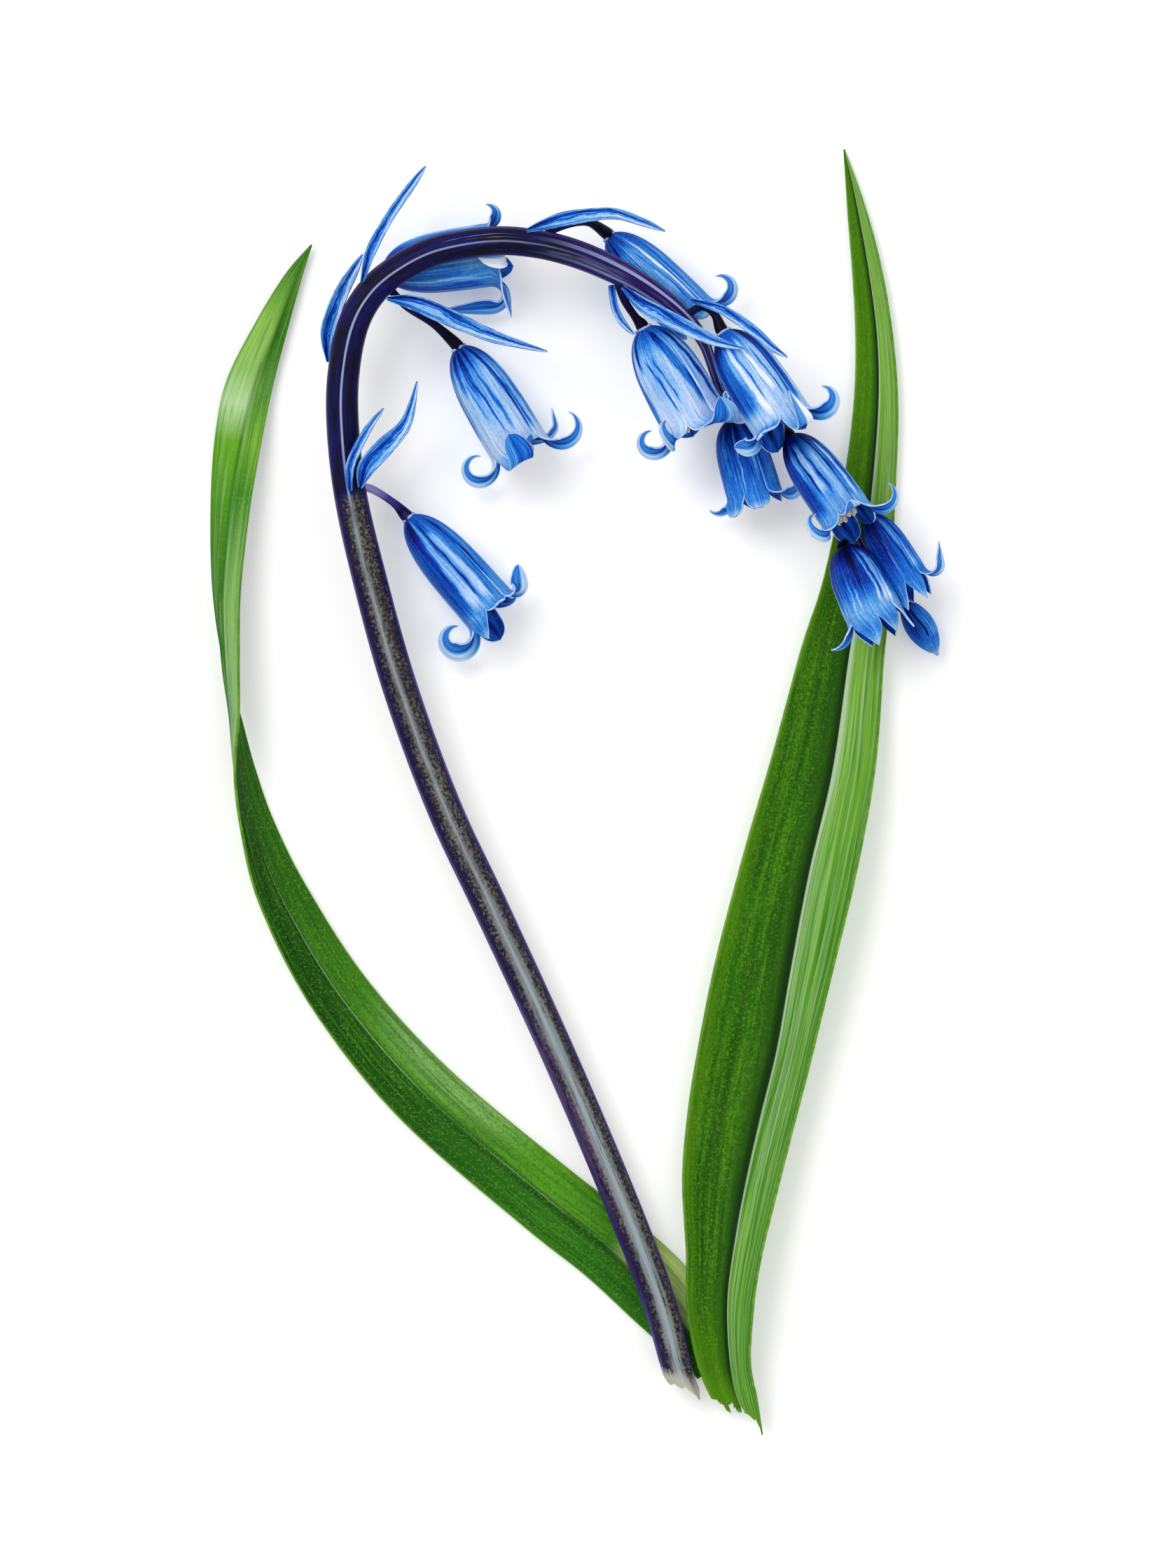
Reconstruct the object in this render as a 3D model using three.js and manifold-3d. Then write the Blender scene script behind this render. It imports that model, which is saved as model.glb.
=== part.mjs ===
// A cut bluebell lying on a flat surface: one arching flower stem, ten nodding bells, one bud,
// the bracts at the feet of the pedicels, and two leaves gathered with the stem at the cut end.
// Millimetres. +Z points up from the surface, +Y runs from the cut end towards the tip of the
// right leaf, and +X to the right. The origin is under the middle of the whole plant.
import * as THREE from 'three';
import Module from 'manifold-3d';

const wasm = await Module();
wasm.setup();

// Walls and sections
const TEPAL_WALL = 0.62;
const LEAF_KEEL = 0.9;
const LEAF_EDGE = 0.62;
const BRACT_WALL = 0.62;
const STEM_SIDES = 12;
const PEDICEL_SIDES = 6;
const PEDICEL_RADIUS = 0.52;
const REST_STRIP = 1.2;
const REST_SNAP = 0.14;

// A tepal covers a sixth of the bell, and every second one stands a little prouder
const TEPALS = 6;
const RIDGE = [0.03, -0.02];
const SEAM = 0.07;

// A tip rolls a little tighter towards its end, a step every so many degrees
const ROLL_GAIN = 1.15;
const ROLL_STEP = 45;
const MOST_STEPS = 8;

// Share of the bell's length against share of its largest radius
const BELL_PROFILE = [
  [0, 0.22],
  [0.06, 0.47],
  [0.19, 0.74],
  [0.4, 0.93],
  [0.68, 1],
  [1, 1.02],
];

// The scape from its cut end to the bud: place, then radius
const SCAPE = [
  [14.2, -77.6, 3.7, 1.85],
  [13, -74.4, 3.7, 1.95],
  [10.3, -64.5, 3.7, 2.15],
  [5.1, -51, 3.8, 2.2],
  [-2.6, -33, 4.3, 2.2],
  [-10.9, -15, 4.8, 2.25],
  [-17.2, -1.5, 5.4, 2.25],
  [-22.8, 13.8, 6.2, 2.25],
  [-26.8, 28.2, 7.2, 2.2],
  [-29.2, 39, 8.1, 2.1],
  [-30.1, 48, 9, 2.08],
  [-29.9, 54.3, 9.8, 2.04],
  [-28.7, 60.1, 10.6, 2],
  [-26.4, 64.2, 11.2, 1.95],
  [-22.9, 67.2, 11.6, 1.9],
  [-18, 69.6, 11.7, 1.88],
  [-11.2, 70.8, 11.6, 1.85],
  [-5.5, 70.5, 11.4, 1.83],
  [-0.2, 69.2, 11.2, 1.8],
  [5, 67, 10.9, 1.68],
  [9.5, 64.4, 10.7, 1.45],
  [13.6, 61.2, 10.2, 1.15],
  [16.3, 57.8, 9.4, 0.78],
  [18.5, 51.8, 8, 0.55],
  [21.4, 49.2, 7.2, 0.5],
  [24.6, 47.4, 6.4, 0.5],
  [30.5, 40.6, 4.5, 0.5],
  [35, 34.8, 3.5, 0.5],
  [38.3, 29.2, 3.1, 0.48],
  [41.6, 25.2, 2.9, 0.45],
];

// Where each pedicel leaves the scape, and the way it takes to the foot of its flower
const PEDICELS = {
  bell_1: [[-29.2, 39.4, 8.3], [-26.6, 39.2, 7.6], [-23.6, 37.4, 6.1], [-22.1, 35.9, 5.1]],
  bell_2: [[-24.6, 65.4, 10.9], [-22, 62.6, 9.4], [-18.4, 60.3, 7.2], [-15.6, 57.8, 5.6]],
  bell_3: [[-28, 61, 10.4], [-27.6, 63.8, 8], [-26.8, 65.8, 6], [-25.5, 66.6, 5]],
  bell_4: [[-5.5, 70.6, 11.3], [-2.6, 72.5, 10.7], [1.2, 73.4, 7.6], [3.65, 72.15, 4.95]],
  bell_5: [[4.8, 66.6, 10.8], [6, 63.4, 10.8], [7.4, 61.2, 10.3], [8.2, 60.2, 10]],
  bell_6: [[13.8, 61.2, 10.2], [16, 62.4, 11.2], [17.6, 61.4, 12.3], [18.4, 59.6, 12.7]],
  bell_7: [[18.4, 52.8, 8.3], [18.9, 50.8, 6.6], [19.6, 48.8, 4.9]],
  bell_8: [[23.4, 48, 6.7], [25.2, 47.6, 8], [26.9, 46.3, 9.2]],
  bell_9: [[34.2, 35.9, 3.7], [35.1, 33.7, 4.6], [34.3, 32.5, 7.2]],
  bell_10: [[32.6, 37.8, 4], [35, 37.6, 5], [37, 36.3, 5.6]],
};

// Each bell from its foot to the middle of its mouth, its radius, the turn of its tepals about
// its own line, how far the anthers reach, and the tips of its six tepals, going round from the
// right through the side towards the eye. A tip rolls back through so many degrees over so many
// millimetres, and where a third number stands, it has done its rolling at that share of them.
const BELLS = {
  bell_1: {
    foot: [-21.7, 35.5, 4.8], mouth: [-11.6, 24, 5.3], radius: 3.6, roll: 8, reach: 0.85,
    tips: [[100, 4], [125, 4], [150, 4.5], [350, 10.5], [70, 3], [70, 3]],
  },
  bell_2: {
    foot: [-15.3, 57.3, 5.2], mouth: [-8, 45.2, 5.3], radius: 3.8, roll: 6, reach: 1.15,
    tips: [[215, 8.5], [190, 6], [160, 5], [330, 9.5], [70, 3], [70, 3]],
  },
  bell_3: {
    foot: [-24.9, 66.9, 4.7], mouth: [-11.8, 68.6, 4.9], radius: 3.2, roll: 10, reach: 0.85,
    tips: [[150, 4.6], [60, 3], [95, 4.5], [180, 8, 0.35], [80, 3], [50, 3]],
  },
  bell_4: {
    foot: [4.1, 71.7, 4.4], mouth: [14, 61.8, 4.2], radius: 3.5, roll: 8, reach: 0.85,
    tips: [[240, 7], [60, 2.5], [20, 2.5], [40, 2.5], [15, 2.5], [15, 2.5]],
  },
  bell_5: {
    foot: [8.5, 59.7, 9.8], mouth: [14.7, 48.4, 9.6], radius: 4.35, roll: 18, reach: 1.12,
    tips: [[120, 2], [150, 4.5], [290, 8], [330, 9], [60, 3], [50, 2.6]],
  },
  bell_6: {
    foot: [18.7, 59.1, 12.8], mouth: [25.7, 48.2, 14.1], radius: 3.95, roll: 0, reach: 0.85,
    tips: [[235, 8], [150, 4.5], [150, 4.5], [80, 2.8], [50, 2.5], [50, 2.5]],
  },
  bell_7: {
    foot: [19.9, 48.2, 4.4], mouth: [22.6, 39, 4.6], radius: 3.55, roll: 25, reach: 0.85,
    tips: [[160, 3.6], [110, 3], [100, 3.6], [170, 5], [36, 2.3], [30, 2.3]],
  },
  bell_8: {
    foot: [27.2, 45.9, 9.5], mouth: [33.9, 36.4, 10.9], radius: 3.4, roll: 15, reach: 1.12,
    tips: [[195, 7.4], [130, 4], [150, 4.5], [335, 8.4], [30, 2.2], [30, 2.2]],
  },
  bell_9: {
    foot: [34.1, 31.8, 8.2], mouth: [37.8, 23.4, 9.1], radius: 3.6, roll: 0, reach: 0.8,
    tips: [[30, 4], [-14, 4.2], [-16, 4.2], [110, 5.5], [-10, 4], [-10, 4]],
  },
  bell_10: {
    foot: [37.4, 35.8, 5.8], mouth: [42.2, 27.9, 6.2], radius: 2.7, roll: 12, reach: 0.72,
    tips: [[135, 5.2, 0.4], [15, 4], [5, 4], [0, 4], [-8, 3.4], [0, 3.6]],
  },
};

const BUD = { foot: [42.2, 24.5, 2.7], tip: [46.3, 18.1, 2.1], radius: 1.95, roll: 20 };
const BUD_PROFILE = [
  [0, 0.3],
  [0.1, 0.66],
  [0.35, 0.98],
  [0.6, 0.96],
  [0.85, 0.6],
  [1, 0.14],
];

// Blades: place of the keel, breadth left and right of it, turn of the blade about its own line
// and fold of each half up from flat, in degrees, from the foot to the tip
const LEFT_LEAF = [
  [17.8, -73.7, 0.9, 2.8, 2.8, 0, 4],
  [11.4, -65.2, 0.9, 4.7, 4.7, 0, 3],
  [4.2, -58.4, 0.9, 4.8, 4.8, 0, 3],
  [-4, -52, 0.9, 4.7, 4.7, 0, 6],
  [-19.6, -38.7, 0.9, 4.5, 4.5, 0, 10],
  [-30.6, -25.9, 1.1, 4, 4, 8, 11],
  [-38, -13.4, 2.3, 3.7, 3.7, 30, 11],
  [-41.4, -4.7, 3.1, 3.5, 3.5, 52, 11],
  [-43.2, 2.9, 3.6, 3.3, 3.3, 68, 11],
  [-43.9, 10, 3.8, 3.2, 3.2, 90, 11],
  [-44.9, 17.4, 3.6, 3.1, 3.1, 110, 11],
  [-45.4, 26.4, 3.2, 3.05, 3.05, 126, 11],
  [-44.8, 37.2, 2.6, 3.05, 3.05, 146, 11],
  [-43.6, 46.2, 2, 3.1, 3.1, 167, 11],
  [-42.2, 52.6, 1.6, 2.95, 2.95, 180, 11],
  [-39.4, 60, 1.3, 2.05, 2.05, 180, 11],
  [-36.6, 66.4, 1.1, 1.1, 1.1, 180, 9],
  [-34.2, 70.7, 1, 0.3, 0.3, 180, 6],
];

const RIGHT_LEAF = [
  [23.5, -82.7, 2.6, 0.3, 0.3, 0, 20],
  [21.9, -78.6, 2.8, 3.5, 1.7, -12, 24],
  [20.2, -73.5, 2.9, 4.7, 3, -16, 28],
  [19.3, -66.3, 2.9, 5.3, 4.6, -17, 29],
  [19.9, -60, 2.6, 6.1, 5.2, -18, 30],
  [21.5, -51, 1.5, 8.4, 6, -18, 30],
  [23.5, -42, 0.9, 9.7, 6.4, -18, 30],
  [25.7, -33, 0.9, 10.4, 6.6, -18, 30],
  [27.5, -22.8, 0.9, 10.1, 7.6, -18, 30],
  [29.9, -10.1, 0.9, 9.1, 8, -16, 28],
  [32.9, 2.9, 0.9, 8.3, 6.6, -13, 25],
  [35, 17.4, 0.9, 6.4, 4.8, -7, 18],
  [36.4, 26.4, 0.9, 4.9, 4.1, -3, 13],
  [37.9, 38.4, 0.9, 3.8, 3.1, -3, 13],
  [38.8, 49.5, 0.9, 3.2, 2.6, -6, 17],
  [38.7, 58.3, 0.9, 2.8, 2.1, -8, 20],
  [37.6, 67.2, 0.9, 2.1, 1.7, -8, 20],
  [36, 76, 0.9, 1.2, 0.9, -6, 16],
  [34.4, 83, 0.9, 0.3, 0.3, 0, 10],
];

const BRACTS = {
  bract_1_slim: [
    [-29.1, 38.8, 11.2, 0.4, 0.4, 0, 15],
    [-29, 42.2, 11.6, 0.5, 0.5, 0, 18],
    [-27, 46.4, 11.5, 0.45, 0.45, 0, 18],
    [-24.8, 49.4, 11, 0.3, 0.3, 0, 10],
  ],
  bract_1_broad: [
    [-27.8, 39.2, 10.8, 0.5, 0.5, 0, 15],
    [-27, 41.8, 11, 1.1, 1.1, 0, 24],
    [-24.7, 44.4, 11, 1.2, 1.2, 0, 24],
    [-21.9, 47.6, 10.8, 0.7, 0.7, 0, 18],
    [-20.5, 52.9, 10.2, 0.3, 0.3, 0, 10],
  ],
  bract_2: [
    [-31.9, 55.4, 8.1, 0.5, 0.5, 0, 15],
    [-31.9, 59.4, 8.2, 0.95, 0.95, 0, 20],
    [-30.4, 63.9, 8.7, 0.9, 0.9, 0, 20],
    [-28.7, 67, 9, 0.6, 0.6, 0, 15],
    [-27.5, 69.2, 9.2, 0.3, 0.3, 0, 10],
  ],
  bract_3: [
    [-27.5, 65.6, 13.3, 0.4, 0.4, 0, 15],
    [-26.5, 69.2, 13.1, 0.6, 0.6, 0, 18],
    [-24.2, 73.6, 12.4, 0.55, 0.55, 0, 18],
    [-21, 78.2, 11.8, 0.45, 0.45, 0, 15],
    [-19.4, 80.4, 11.4, 0.3, 0.3, 0, 10],
  ],
  bract_4: [
    [-24.3, 63.4, 13.2, 0.5, 0.5, 0, 15],
    [-21, 62.9, 12, 0.9, 0.9, 0, 22],
    [-16.8, 61.2, 11, 1.05, 1.05, 0, 22],
    [-11.2, 58.8, 10.2, 0.8, 0.8, 0, 20],
    [-7.6, 57.7, 9.6, 0.45, 0.45, 0, 15],
    [-3.8, 56.7, 9, 0.3, 0.3, 0, 10],
  ],
  bract_5: [
    [-6.4, 72.1, 13.7, 0.5, 0.5, 0, 15],
    [-2.4, 73.4, 13, 0.85, 0.85, 0, 20],
    [1.4, 74.1, 12, 0.8, 0.8, 0, 20],
    [5, 74.3, 11.2, 0.65, 0.65, 0, 18],
    [8.6, 73.2, 10.6, 0.45, 0.45, 0, 15],
    [11.3, 72.1, 10.2, 0.3, 0.3, 0, 10],
  ],
  bract_6_slim: [
    [4.4, 65.1, 12.9, 0.35, 0.35, 0, 15],
    [4.8, 62.4, 12.6, 0.4, 0.4, 0, 15],
    [5.8, 60.4, 12.2, 0.4, 0.4, 0, 15],
    [7.3, 58.8, 12, 0.3, 0.3, 0, 10],
  ],
  bract_6_broad: [
    [5.8, 64.9, 13, 0.5, 0.5, 0, 15],
    [8.7, 62.4, 13.4, 0.9, 0.9, 0, 20],
    [13.1, 60.1, 14.6, 0.95, 0.95, 0, 20],
    [17.6, 57.9, 16.1, 0.6, 0.6, 0, 15],
    [21.4, 56.8, 17.7, 0.3, 0.3, 0, 10],
  ],
  bract_7: [
    [14.6, 63.2, 12, 0.4, 0.4, 0, 15],
    [18.6, 61.9, 14.2, 0.55, 0.55, 0, 18],
    [22.3, 59.4, 15.6, 0.6, 0.6, 0, 18],
    [24.9, 57.1, 15.7, 0.45, 0.45, 0, 15],
    [26.9, 55.8, 15.4, 0.3, 0.3, 0, 10],
  ],
};

// Colours read by eye: dark and pale sides of a leaf, indigo stem, blue bells, cream anthers
const FINISHES = {
  stem: new THREE.MeshStandardMaterial({ color: 0x34304f, roughness: 0.45, metalness: 0 }),
  leaf: new THREE.MeshStandardMaterial({ color: 0x4f8a2b, roughness: 0.5, metalness: 0 }),
  tepal: new THREE.MeshStandardMaterial({ color: 0x3d74c4, roughness: 0.55, metalness: 0 }),
  bract: new THREE.MeshStandardMaterial({ color: 0x3f6fbe, roughness: 0.55, metalness: 0 }),
  stamen: new THREE.MeshStandardMaterial({ color: 0xe9e4c6, roughness: 0.7, metalness: 0 }),
};

const degrees = (angle) => (angle * Math.PI) / 180;

// A smooth line through rows of numbers, the first three of which are a place
function smoothRows(rows, steps) {
  const blend = (a, b, c, d, t) =>
    0.5 * (2 * b + (c - a) * t + (2 * a - 5 * b + 4 * c - d) * t * t + (3 * b - a - 3 * c + d) * t ** 3);
  const out = [];
  for (let i = 0; i < rows.length - 1; i += 1) {
    const before = rows[Math.max(i - 1, 0)];
    const after = rows[Math.min(i + 2, rows.length - 1)];
    for (let k = 0; k < steps; k += 1) {
      out.push(rows[i].map((value, n) => blend(before[n], value, rows[i + 1][n], after[n], k / steps)));
    }
  }
  out.push(rows[rows.length - 1].slice());
  return out;
}

// Direction of travel at each place of a line
function tangents(places) {
  return places.map((place, i) => {
    const ahead = places[Math.min(i + 1, places.length - 1)];
    const behind = places[Math.max(i - 1, 0)];
    return ahead.clone().sub(behind).normalize();
  });
}

// Collects the corners and triangles of one closed body
class Body {
  constructor() {
    this.corners = [];
    this.faces = [];
  }

  corner(place) {
    this.corners.push(place);
    return this.corners.length - 1;
  }

  quad(a, b, c, d) {
    this.faces.push([a, b, c], [a, c, d]);
  }

  // Joins two rings of the same length, side by side
  bridge(ring, next) {
    ring.forEach((corner, i) => {
      const j = (i + 1) % ring.length;
      this.quad(corner, ring[j], next[j], next[i]);
    });
  }

  // Closes a ring with a fan from its own middle
  fan(ring, flipped) {
    const middle = new THREE.Vector3();
    ring.forEach((corner) => middle.addScaledVector(this.corners[corner], 1 / ring.length));
    const hub = this.corner(middle);
    ring.forEach((corner, i) => {
      const next = ring[(i + 1) % ring.length];
      this.faces.push(flipped ? [hub, next, corner] : [hub, corner, next]);
    });
  }

  volume() {
    return this.faces.reduce((sum, [a, b, c]) => {
      const cross = this.corners[b].clone().cross(this.corners[c]);
      return sum + this.corners[a].dot(cross) / 6;
    }, 0);
  }

  // Turns every face outwards and hands over the geometry
  geometry() {
    const outward = this.volume() > 0;
    const geometry = new THREE.BufferGeometry();
    const positions = this.corners.flatMap((corner) => corner.toArray());
    geometry.setAttribute('position', new THREE.Float32BufferAttribute(positions, 3));
    geometry.setIndex(this.faces.flatMap(([a, b, c]) => (outward ? [a, b, c] : [a, c, b])));
    return geometry;
  }
}

// A closed solid through rings of places, all with the same number of places
function loft(rings) {
  const body = new Body();
  const numbered = rings.map((ring) => ring.map((place) => body.corner(place)));
  for (let i = 1; i < numbered.length; i += 1) {
    body.bridge(numbered[i - 1], numbered[i]);
  }
  body.fan(numbered[0], true);
  body.fan(numbered[numbered.length - 1], false);
  return body.geometry();
}

// A round rod with a radius at each place
function rod(rows, sides, steps) {
  const line = smoothRows(rows, steps);
  const places = line.map(([x, y, z]) => new THREE.Vector3(x, y, z));
  const travel = tangents(places);
  let side = new THREE.Vector3(0, 0, 1).cross(travel[0]).normalize();
  const rings = places.map((place, i) => {
    side = side.clone().addScaledVector(travel[i], -side.dot(travel[i])).normalize();
    const up = travel[i].clone().cross(side);
    return Array.from({ length: sides }, (unused, k) => {
      const angle = (2 * Math.PI * k) / sides;
      const radius = line[i][3];
      return place.clone().addScaledVector(side, radius * Math.cos(angle))
        .addScaledVector(up, radius * Math.sin(angle));
    });
  });
  return loft(rings);
}

function toSolid(geometry) {
  const vertProperties = geometry.getAttribute('position').array;
  const triVerts = Uint32Array.from(geometry.getIndex().array);
  return new wasm.Manifold(new wasm.Mesh({ numProp: 3, vertProperties, triVerts }));
}

function toGeometry(solid) {
  const mesh = solid.getMesh();
  const geometry = new THREE.BufferGeometry();
  geometry.setAttribute('position', new THREE.BufferAttribute(mesh.vertProperties, 3));
  geometry.setIndex(new THREE.BufferAttribute(mesh.triVerts, 1));
  return geometry;
}

function fuse(geometries) {
  return toGeometry(geometries.map(toSolid).reduce((whole, piece) => whole.add(piece)));
}

// Scape with all its pedicels, which grow out of it
function scapeGeometry() {
  const pedicels = Object.values(PEDICELS).map((way) => {
    const rows = way.map(([x, y, z], i) => [x, y, z, PEDICEL_RADIUS * (i === way.length - 1 ? 1.25 : 1)]);
    return rod(rows, PEDICEL_SIDES, 2);
  });
  return fuse([rod(SCAPE, STEM_SIDES, 2), ...pedicels]);
}

// A long thin blade, creased along its keel and closed at both ends; the keel may rest flat
function bladeGeometry(rows, steps, keelWall, edgeWall, strip) {
  const line = smoothRows(rows, steps);
  const places = line.map(([x, y, z]) => new THREE.Vector3(x, y, z));
  const travel = tangents(places);
  const rings = places.map((place, i) => {
    const [, , , left, right, turn, fold] = line[i];
    const level = new THREE.Vector3(0, 0, 1).cross(travel[i]).normalize();
    const rise = travel[i].clone().cross(level).normalize();
    // Points of the upper face: angle is measured up from flat on the left, and on the right
    const lean = (sign, angle) => level.clone().multiplyScalar(sign * Math.cos(degrees(angle)))
      .addScaledVector(rise, Math.sin(degrees(angle)));
    const half = (sign, breadth) => {
      const inner = lean(sign, 0.6 * fold + sign * turn);
      const outer = lean(sign, 1.4 * fold + sign * turn);
      const middle = place.clone().addScaledVector(inner, 0.5 * breadth);
      return [middle, middle.clone().addScaledVector(outer, 0.5 * breadth)];
    };
    const [leftMiddle, leftEdge] = half(1, left);
    const [rightMiddle, rightEdge] = half(-1, right);
    const across = lean(1, turn);
    const down = travel[i].clone().cross(across).normalize();
    if (down.dot(rise) * Math.cos(degrees(turn)) > 0) {
      down.negate();
    }
    const reach = Math.min(strip / 2, 0.4 * Math.min(left, right));
    const under = (sign) => place.clone().addScaledVector(down, keelWall).addScaledVector(across, sign * reach);
    const ring = [
      leftEdge, leftMiddle, place, rightMiddle, rightEdge,
      rightEdge.clone().addScaledVector(down, edgeWall), under(-1), under(1),
      leftEdge.clone().addScaledVector(down, edgeWall),
    ];
    return ring.map((corner) => (corner.z < REST_SNAP ? corner.clone().setZ(0) : corner));
  });
  return loft(rings);
}

// Places on a bell, from its foot: along its line, out from it, and round it from the right
// through the side that looks up
function bellFrame(foot, tip, roll) {
  const start = new THREE.Vector3(...foot);
  const along = new THREE.Vector3(...tip).sub(start);
  const length = along.length();
  along.normalize();
  const zenith = new THREE.Vector3(0, 0, 1);
  const right = zenith.clone().cross(along).normalize();
  const up = along.clone().cross(right);
  const outward = (angle) => right.clone().multiplyScalar(Math.cos(degrees(roll + angle)))
    .addScaledVector(up, Math.sin(degrees(roll + angle)));
  const sideways = (angle) => outward(angle + 90);
  const place = (t, r, angle) => start.clone().addScaledVector(along, t).addScaledVector(outward(angle), r);
  return { length, along, outward, sideways, place };
}

// The middle line of a rolled tip: distance along, distance out and direction at each step
function rolledTip(length, radius, flare, [turn, reach, hurry = 1], steps) {
  const stations = [];
  let t = length;
  let r = radius;
  let heading = flare;
  for (let k = 1; k <= steps; k += 1) {
    const next = flare + turn * Math.min(1, k / steps / hurry) ** ROLL_GAIN;
    const middle = degrees((heading + next) / 2);
    t += (reach / steps) * Math.cos(middle);
    r += (reach / steps) * Math.sin(middle);
    heading = next;
    stations.push({ share: k / steps, t, r, heading });
  }
  return stations;
}

// A bell of six tepals, closed along their seams up to the mouth, with six free rolled tips
function bellGeometry({ foot, mouth, radius, roll, tips }) {
  const frame = bellFrame(foot, mouth, roll);
  const body = new Body();
  const pitch = 360 / TEPALS;
  const columns = Array.from({ length: 2 * TEPALS }, (unused, c) => ({
    angle: (c - 1) * (pitch / 2),
    swell: c % 2 === 0 ? -SEAM : RIDGE[((c - 1) / 2) % 2],
  }));
  const ring = (t, r, inset) => columns.map(({ angle, swell }) =>
    body.corner(frame.place(t, r * (1 + swell) - inset, angle)));
  const outer = BELL_PROFILE.map(([share, size]) => ring(share * frame.length, size * radius, 0));
  const inner = BELL_PROFILE.slice(1).map(([share, size], i) =>
    ring(share * frame.length + (i === 0 ? TEPAL_WALL : 0), size * radius, TEPAL_WALL));
  const thread = (rings, flipped) => {
    for (let i = 1; i < rings.length; i += 1) {
      if (flipped) {
        body.bridge(rings[i], rings[i - 1]);
      } else {
        body.bridge(rings[i - 1], rings[i]);
      }
    }
  };
  thread(outer, false);
  thread(inner, true);
  body.fan(outer[0], true);
  body.fan(inner[0], false);
  const lip = outer[outer.length - 1];
  const lining = inner[inner.length - 1];
  const [[s0, v0], [s1, v1]] = BELL_PROFILE.slice(-2);
  const flare = (Math.atan2((v1 - v0) * radius, (s1 - s0) * frame.length) * 180) / Math.PI;
  for (let k = 0; k < TEPALS; k += 1) {
    const left = 2 * k;
    const middle = 2 * k + 1;
    const right = (2 * k + 2) % (2 * TEPALS);
    const angle = columns[middle].angle;
    const startRadius = radius * v1 * (1 + columns[middle].swell);
    const startBreadth = radius * v1 * (1 - SEAM) * Math.sin(degrees(pitch / 2));
    const startSag = startRadius - radius * v1 * (1 - SEAM) * Math.cos(degrees(pitch / 2));
    const [turn, , hurry = 1] = tips[k];
    const steps = Math.min(MOST_STEPS, Math.max(3, Math.ceil(Math.abs(turn) / ROLL_STEP / hurry)));
    let before = [lip[left], lip[middle], lip[right], lining[right], lining[middle], lining[left]];
    rolledTip(frame.length, startRadius, flare, tips[k], steps).forEach(({ share, t, r, heading }) => {
      const ahead = degrees(heading);
      const skin = frame.along.clone().multiplyScalar(-Math.sin(ahead))
        .addScaledVector(frame.outward(angle), Math.cos(ahead));
      const centre = frame.place(t, r, angle);
      const breadth = Math.max(0.3, startBreadth * (1 - share ** 1.7));
      const sag = startSag * (1 - share);
      const spot = (side, drop) => body.corner(centre.clone()
        .addScaledVector(frame.sideways(angle), side * breadth)
        .addScaledVector(skin, -drop - sag * side * side));
      const after = [
        spot(-1, 0), spot(0, 0), spot(1, 0),
        spot(1, TEPAL_WALL), spot(0, TEPAL_WALL), spot(-1, TEPAL_WALL),
      ];
      body.bridge(before, after);
      before = after;
    });
    body.quad(before[0], before[1], before[4], before[5]);
    body.quad(before[1], before[2], before[3], before[4]);
  }
  return body.geometry();
}

// A bud with the six tepals still closed
function budGeometry({ foot, tip, radius, roll }) {
  const frame = bellFrame(foot, tip, roll);
  const columns = Array.from({ length: 2 * TEPALS }, (unused, c) => c);
  return loft(BUD_PROFILE.map(([share, size]) => columns.map((c) => {
    const swell = c % 2 === 0 ? -SEAM : RIDGE[((c - 1) / 2) % 2];
    return frame.place(share * frame.length, size * radius * (1 + swell), (c - 1) * (180 / TEPALS));
  })));
}

// Ovary and style in the middle, with six filaments that carry the anthers
function stamensGeometry({ foot, mouth, radius, roll, reach }) {
  const frame = bellFrame(foot, mouth, roll);
  const top = reach * frame.length;
  const start = BELL_PROFILE[1][0] * frame.length + TEPAL_WALL + 0.4;
  const spot = (t, r, angle, size) => [...frame.place(t, r, angle).toArray(), size];
  const pieces = [rod([
    spot(start, 0, 0, 0.7), spot(start + 1.2, 0, 0, 0.95), spot(start + 3, 0, 0, 0.36),
    spot(0.86 * top, 0, 0, 0.32),
  ], 6, 1)];
  for (let k = 0; k < TEPALS; k += 1) {
    const angle = (k * 360) / TEPALS;
    const spread = 0.4 * radius;
    pieces.push(rod([
      spot(start + 0.8, 0.3, angle, 0.32), spot(start + 3, spread, angle, 0.32),
      spot(top - 1.6, spread, angle, 0.32), spot(top - 1.2, spread, angle, 0.5),
      spot(top, spread, angle, 0.36),
    ], 3, 1));
  }
  return fuse(pieces);
}

function part(name, geometry, finish) {
  const mesh = new THREE.Mesh(geometry, finish);
  mesh.name = name;
  return mesh;
}

const bluebell = new THREE.Group();
bluebell.add(part('flower_stem', scapeGeometry(), FINISHES.stem));
bluebell.add(part('leaf_left', bladeGeometry(LEFT_LEAF, 2, LEAF_KEEL, LEAF_EDGE, REST_STRIP), FINISHES.leaf));
bluebell.add(part('leaf_right', bladeGeometry(RIGHT_LEAF, 2, LEAF_KEEL, LEAF_EDGE, REST_STRIP), FINISHES.leaf));
for (const [name, bell] of Object.entries(BELLS)) {
  bluebell.add(part(name, bellGeometry(bell), FINISHES.tepal));
  bluebell.add(part(name.replace('bell', 'stamens'), stamensGeometry(bell), FINISHES.stamen));
}
bluebell.add(part('bud', budGeometry(BUD), FINISHES.tepal));
for (const [name, rows] of Object.entries(BRACTS)) {
  bluebell.add(part(name, bladeGeometry(rows, 2, BRACT_WALL, BRACT_WALL, BRACT_WALL), FINISHES.bract));
}

export default bluebell;
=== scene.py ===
"""A cut bluebell lying on a pale surface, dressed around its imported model.

The stem, leaves, bracts, tepals and stamens are modelled as thin living tissue, each in the place
of the plain solid that it stands for. Sizes are millimetres and become metres in the meshes.
"""

from __future__ import annotations

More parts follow.
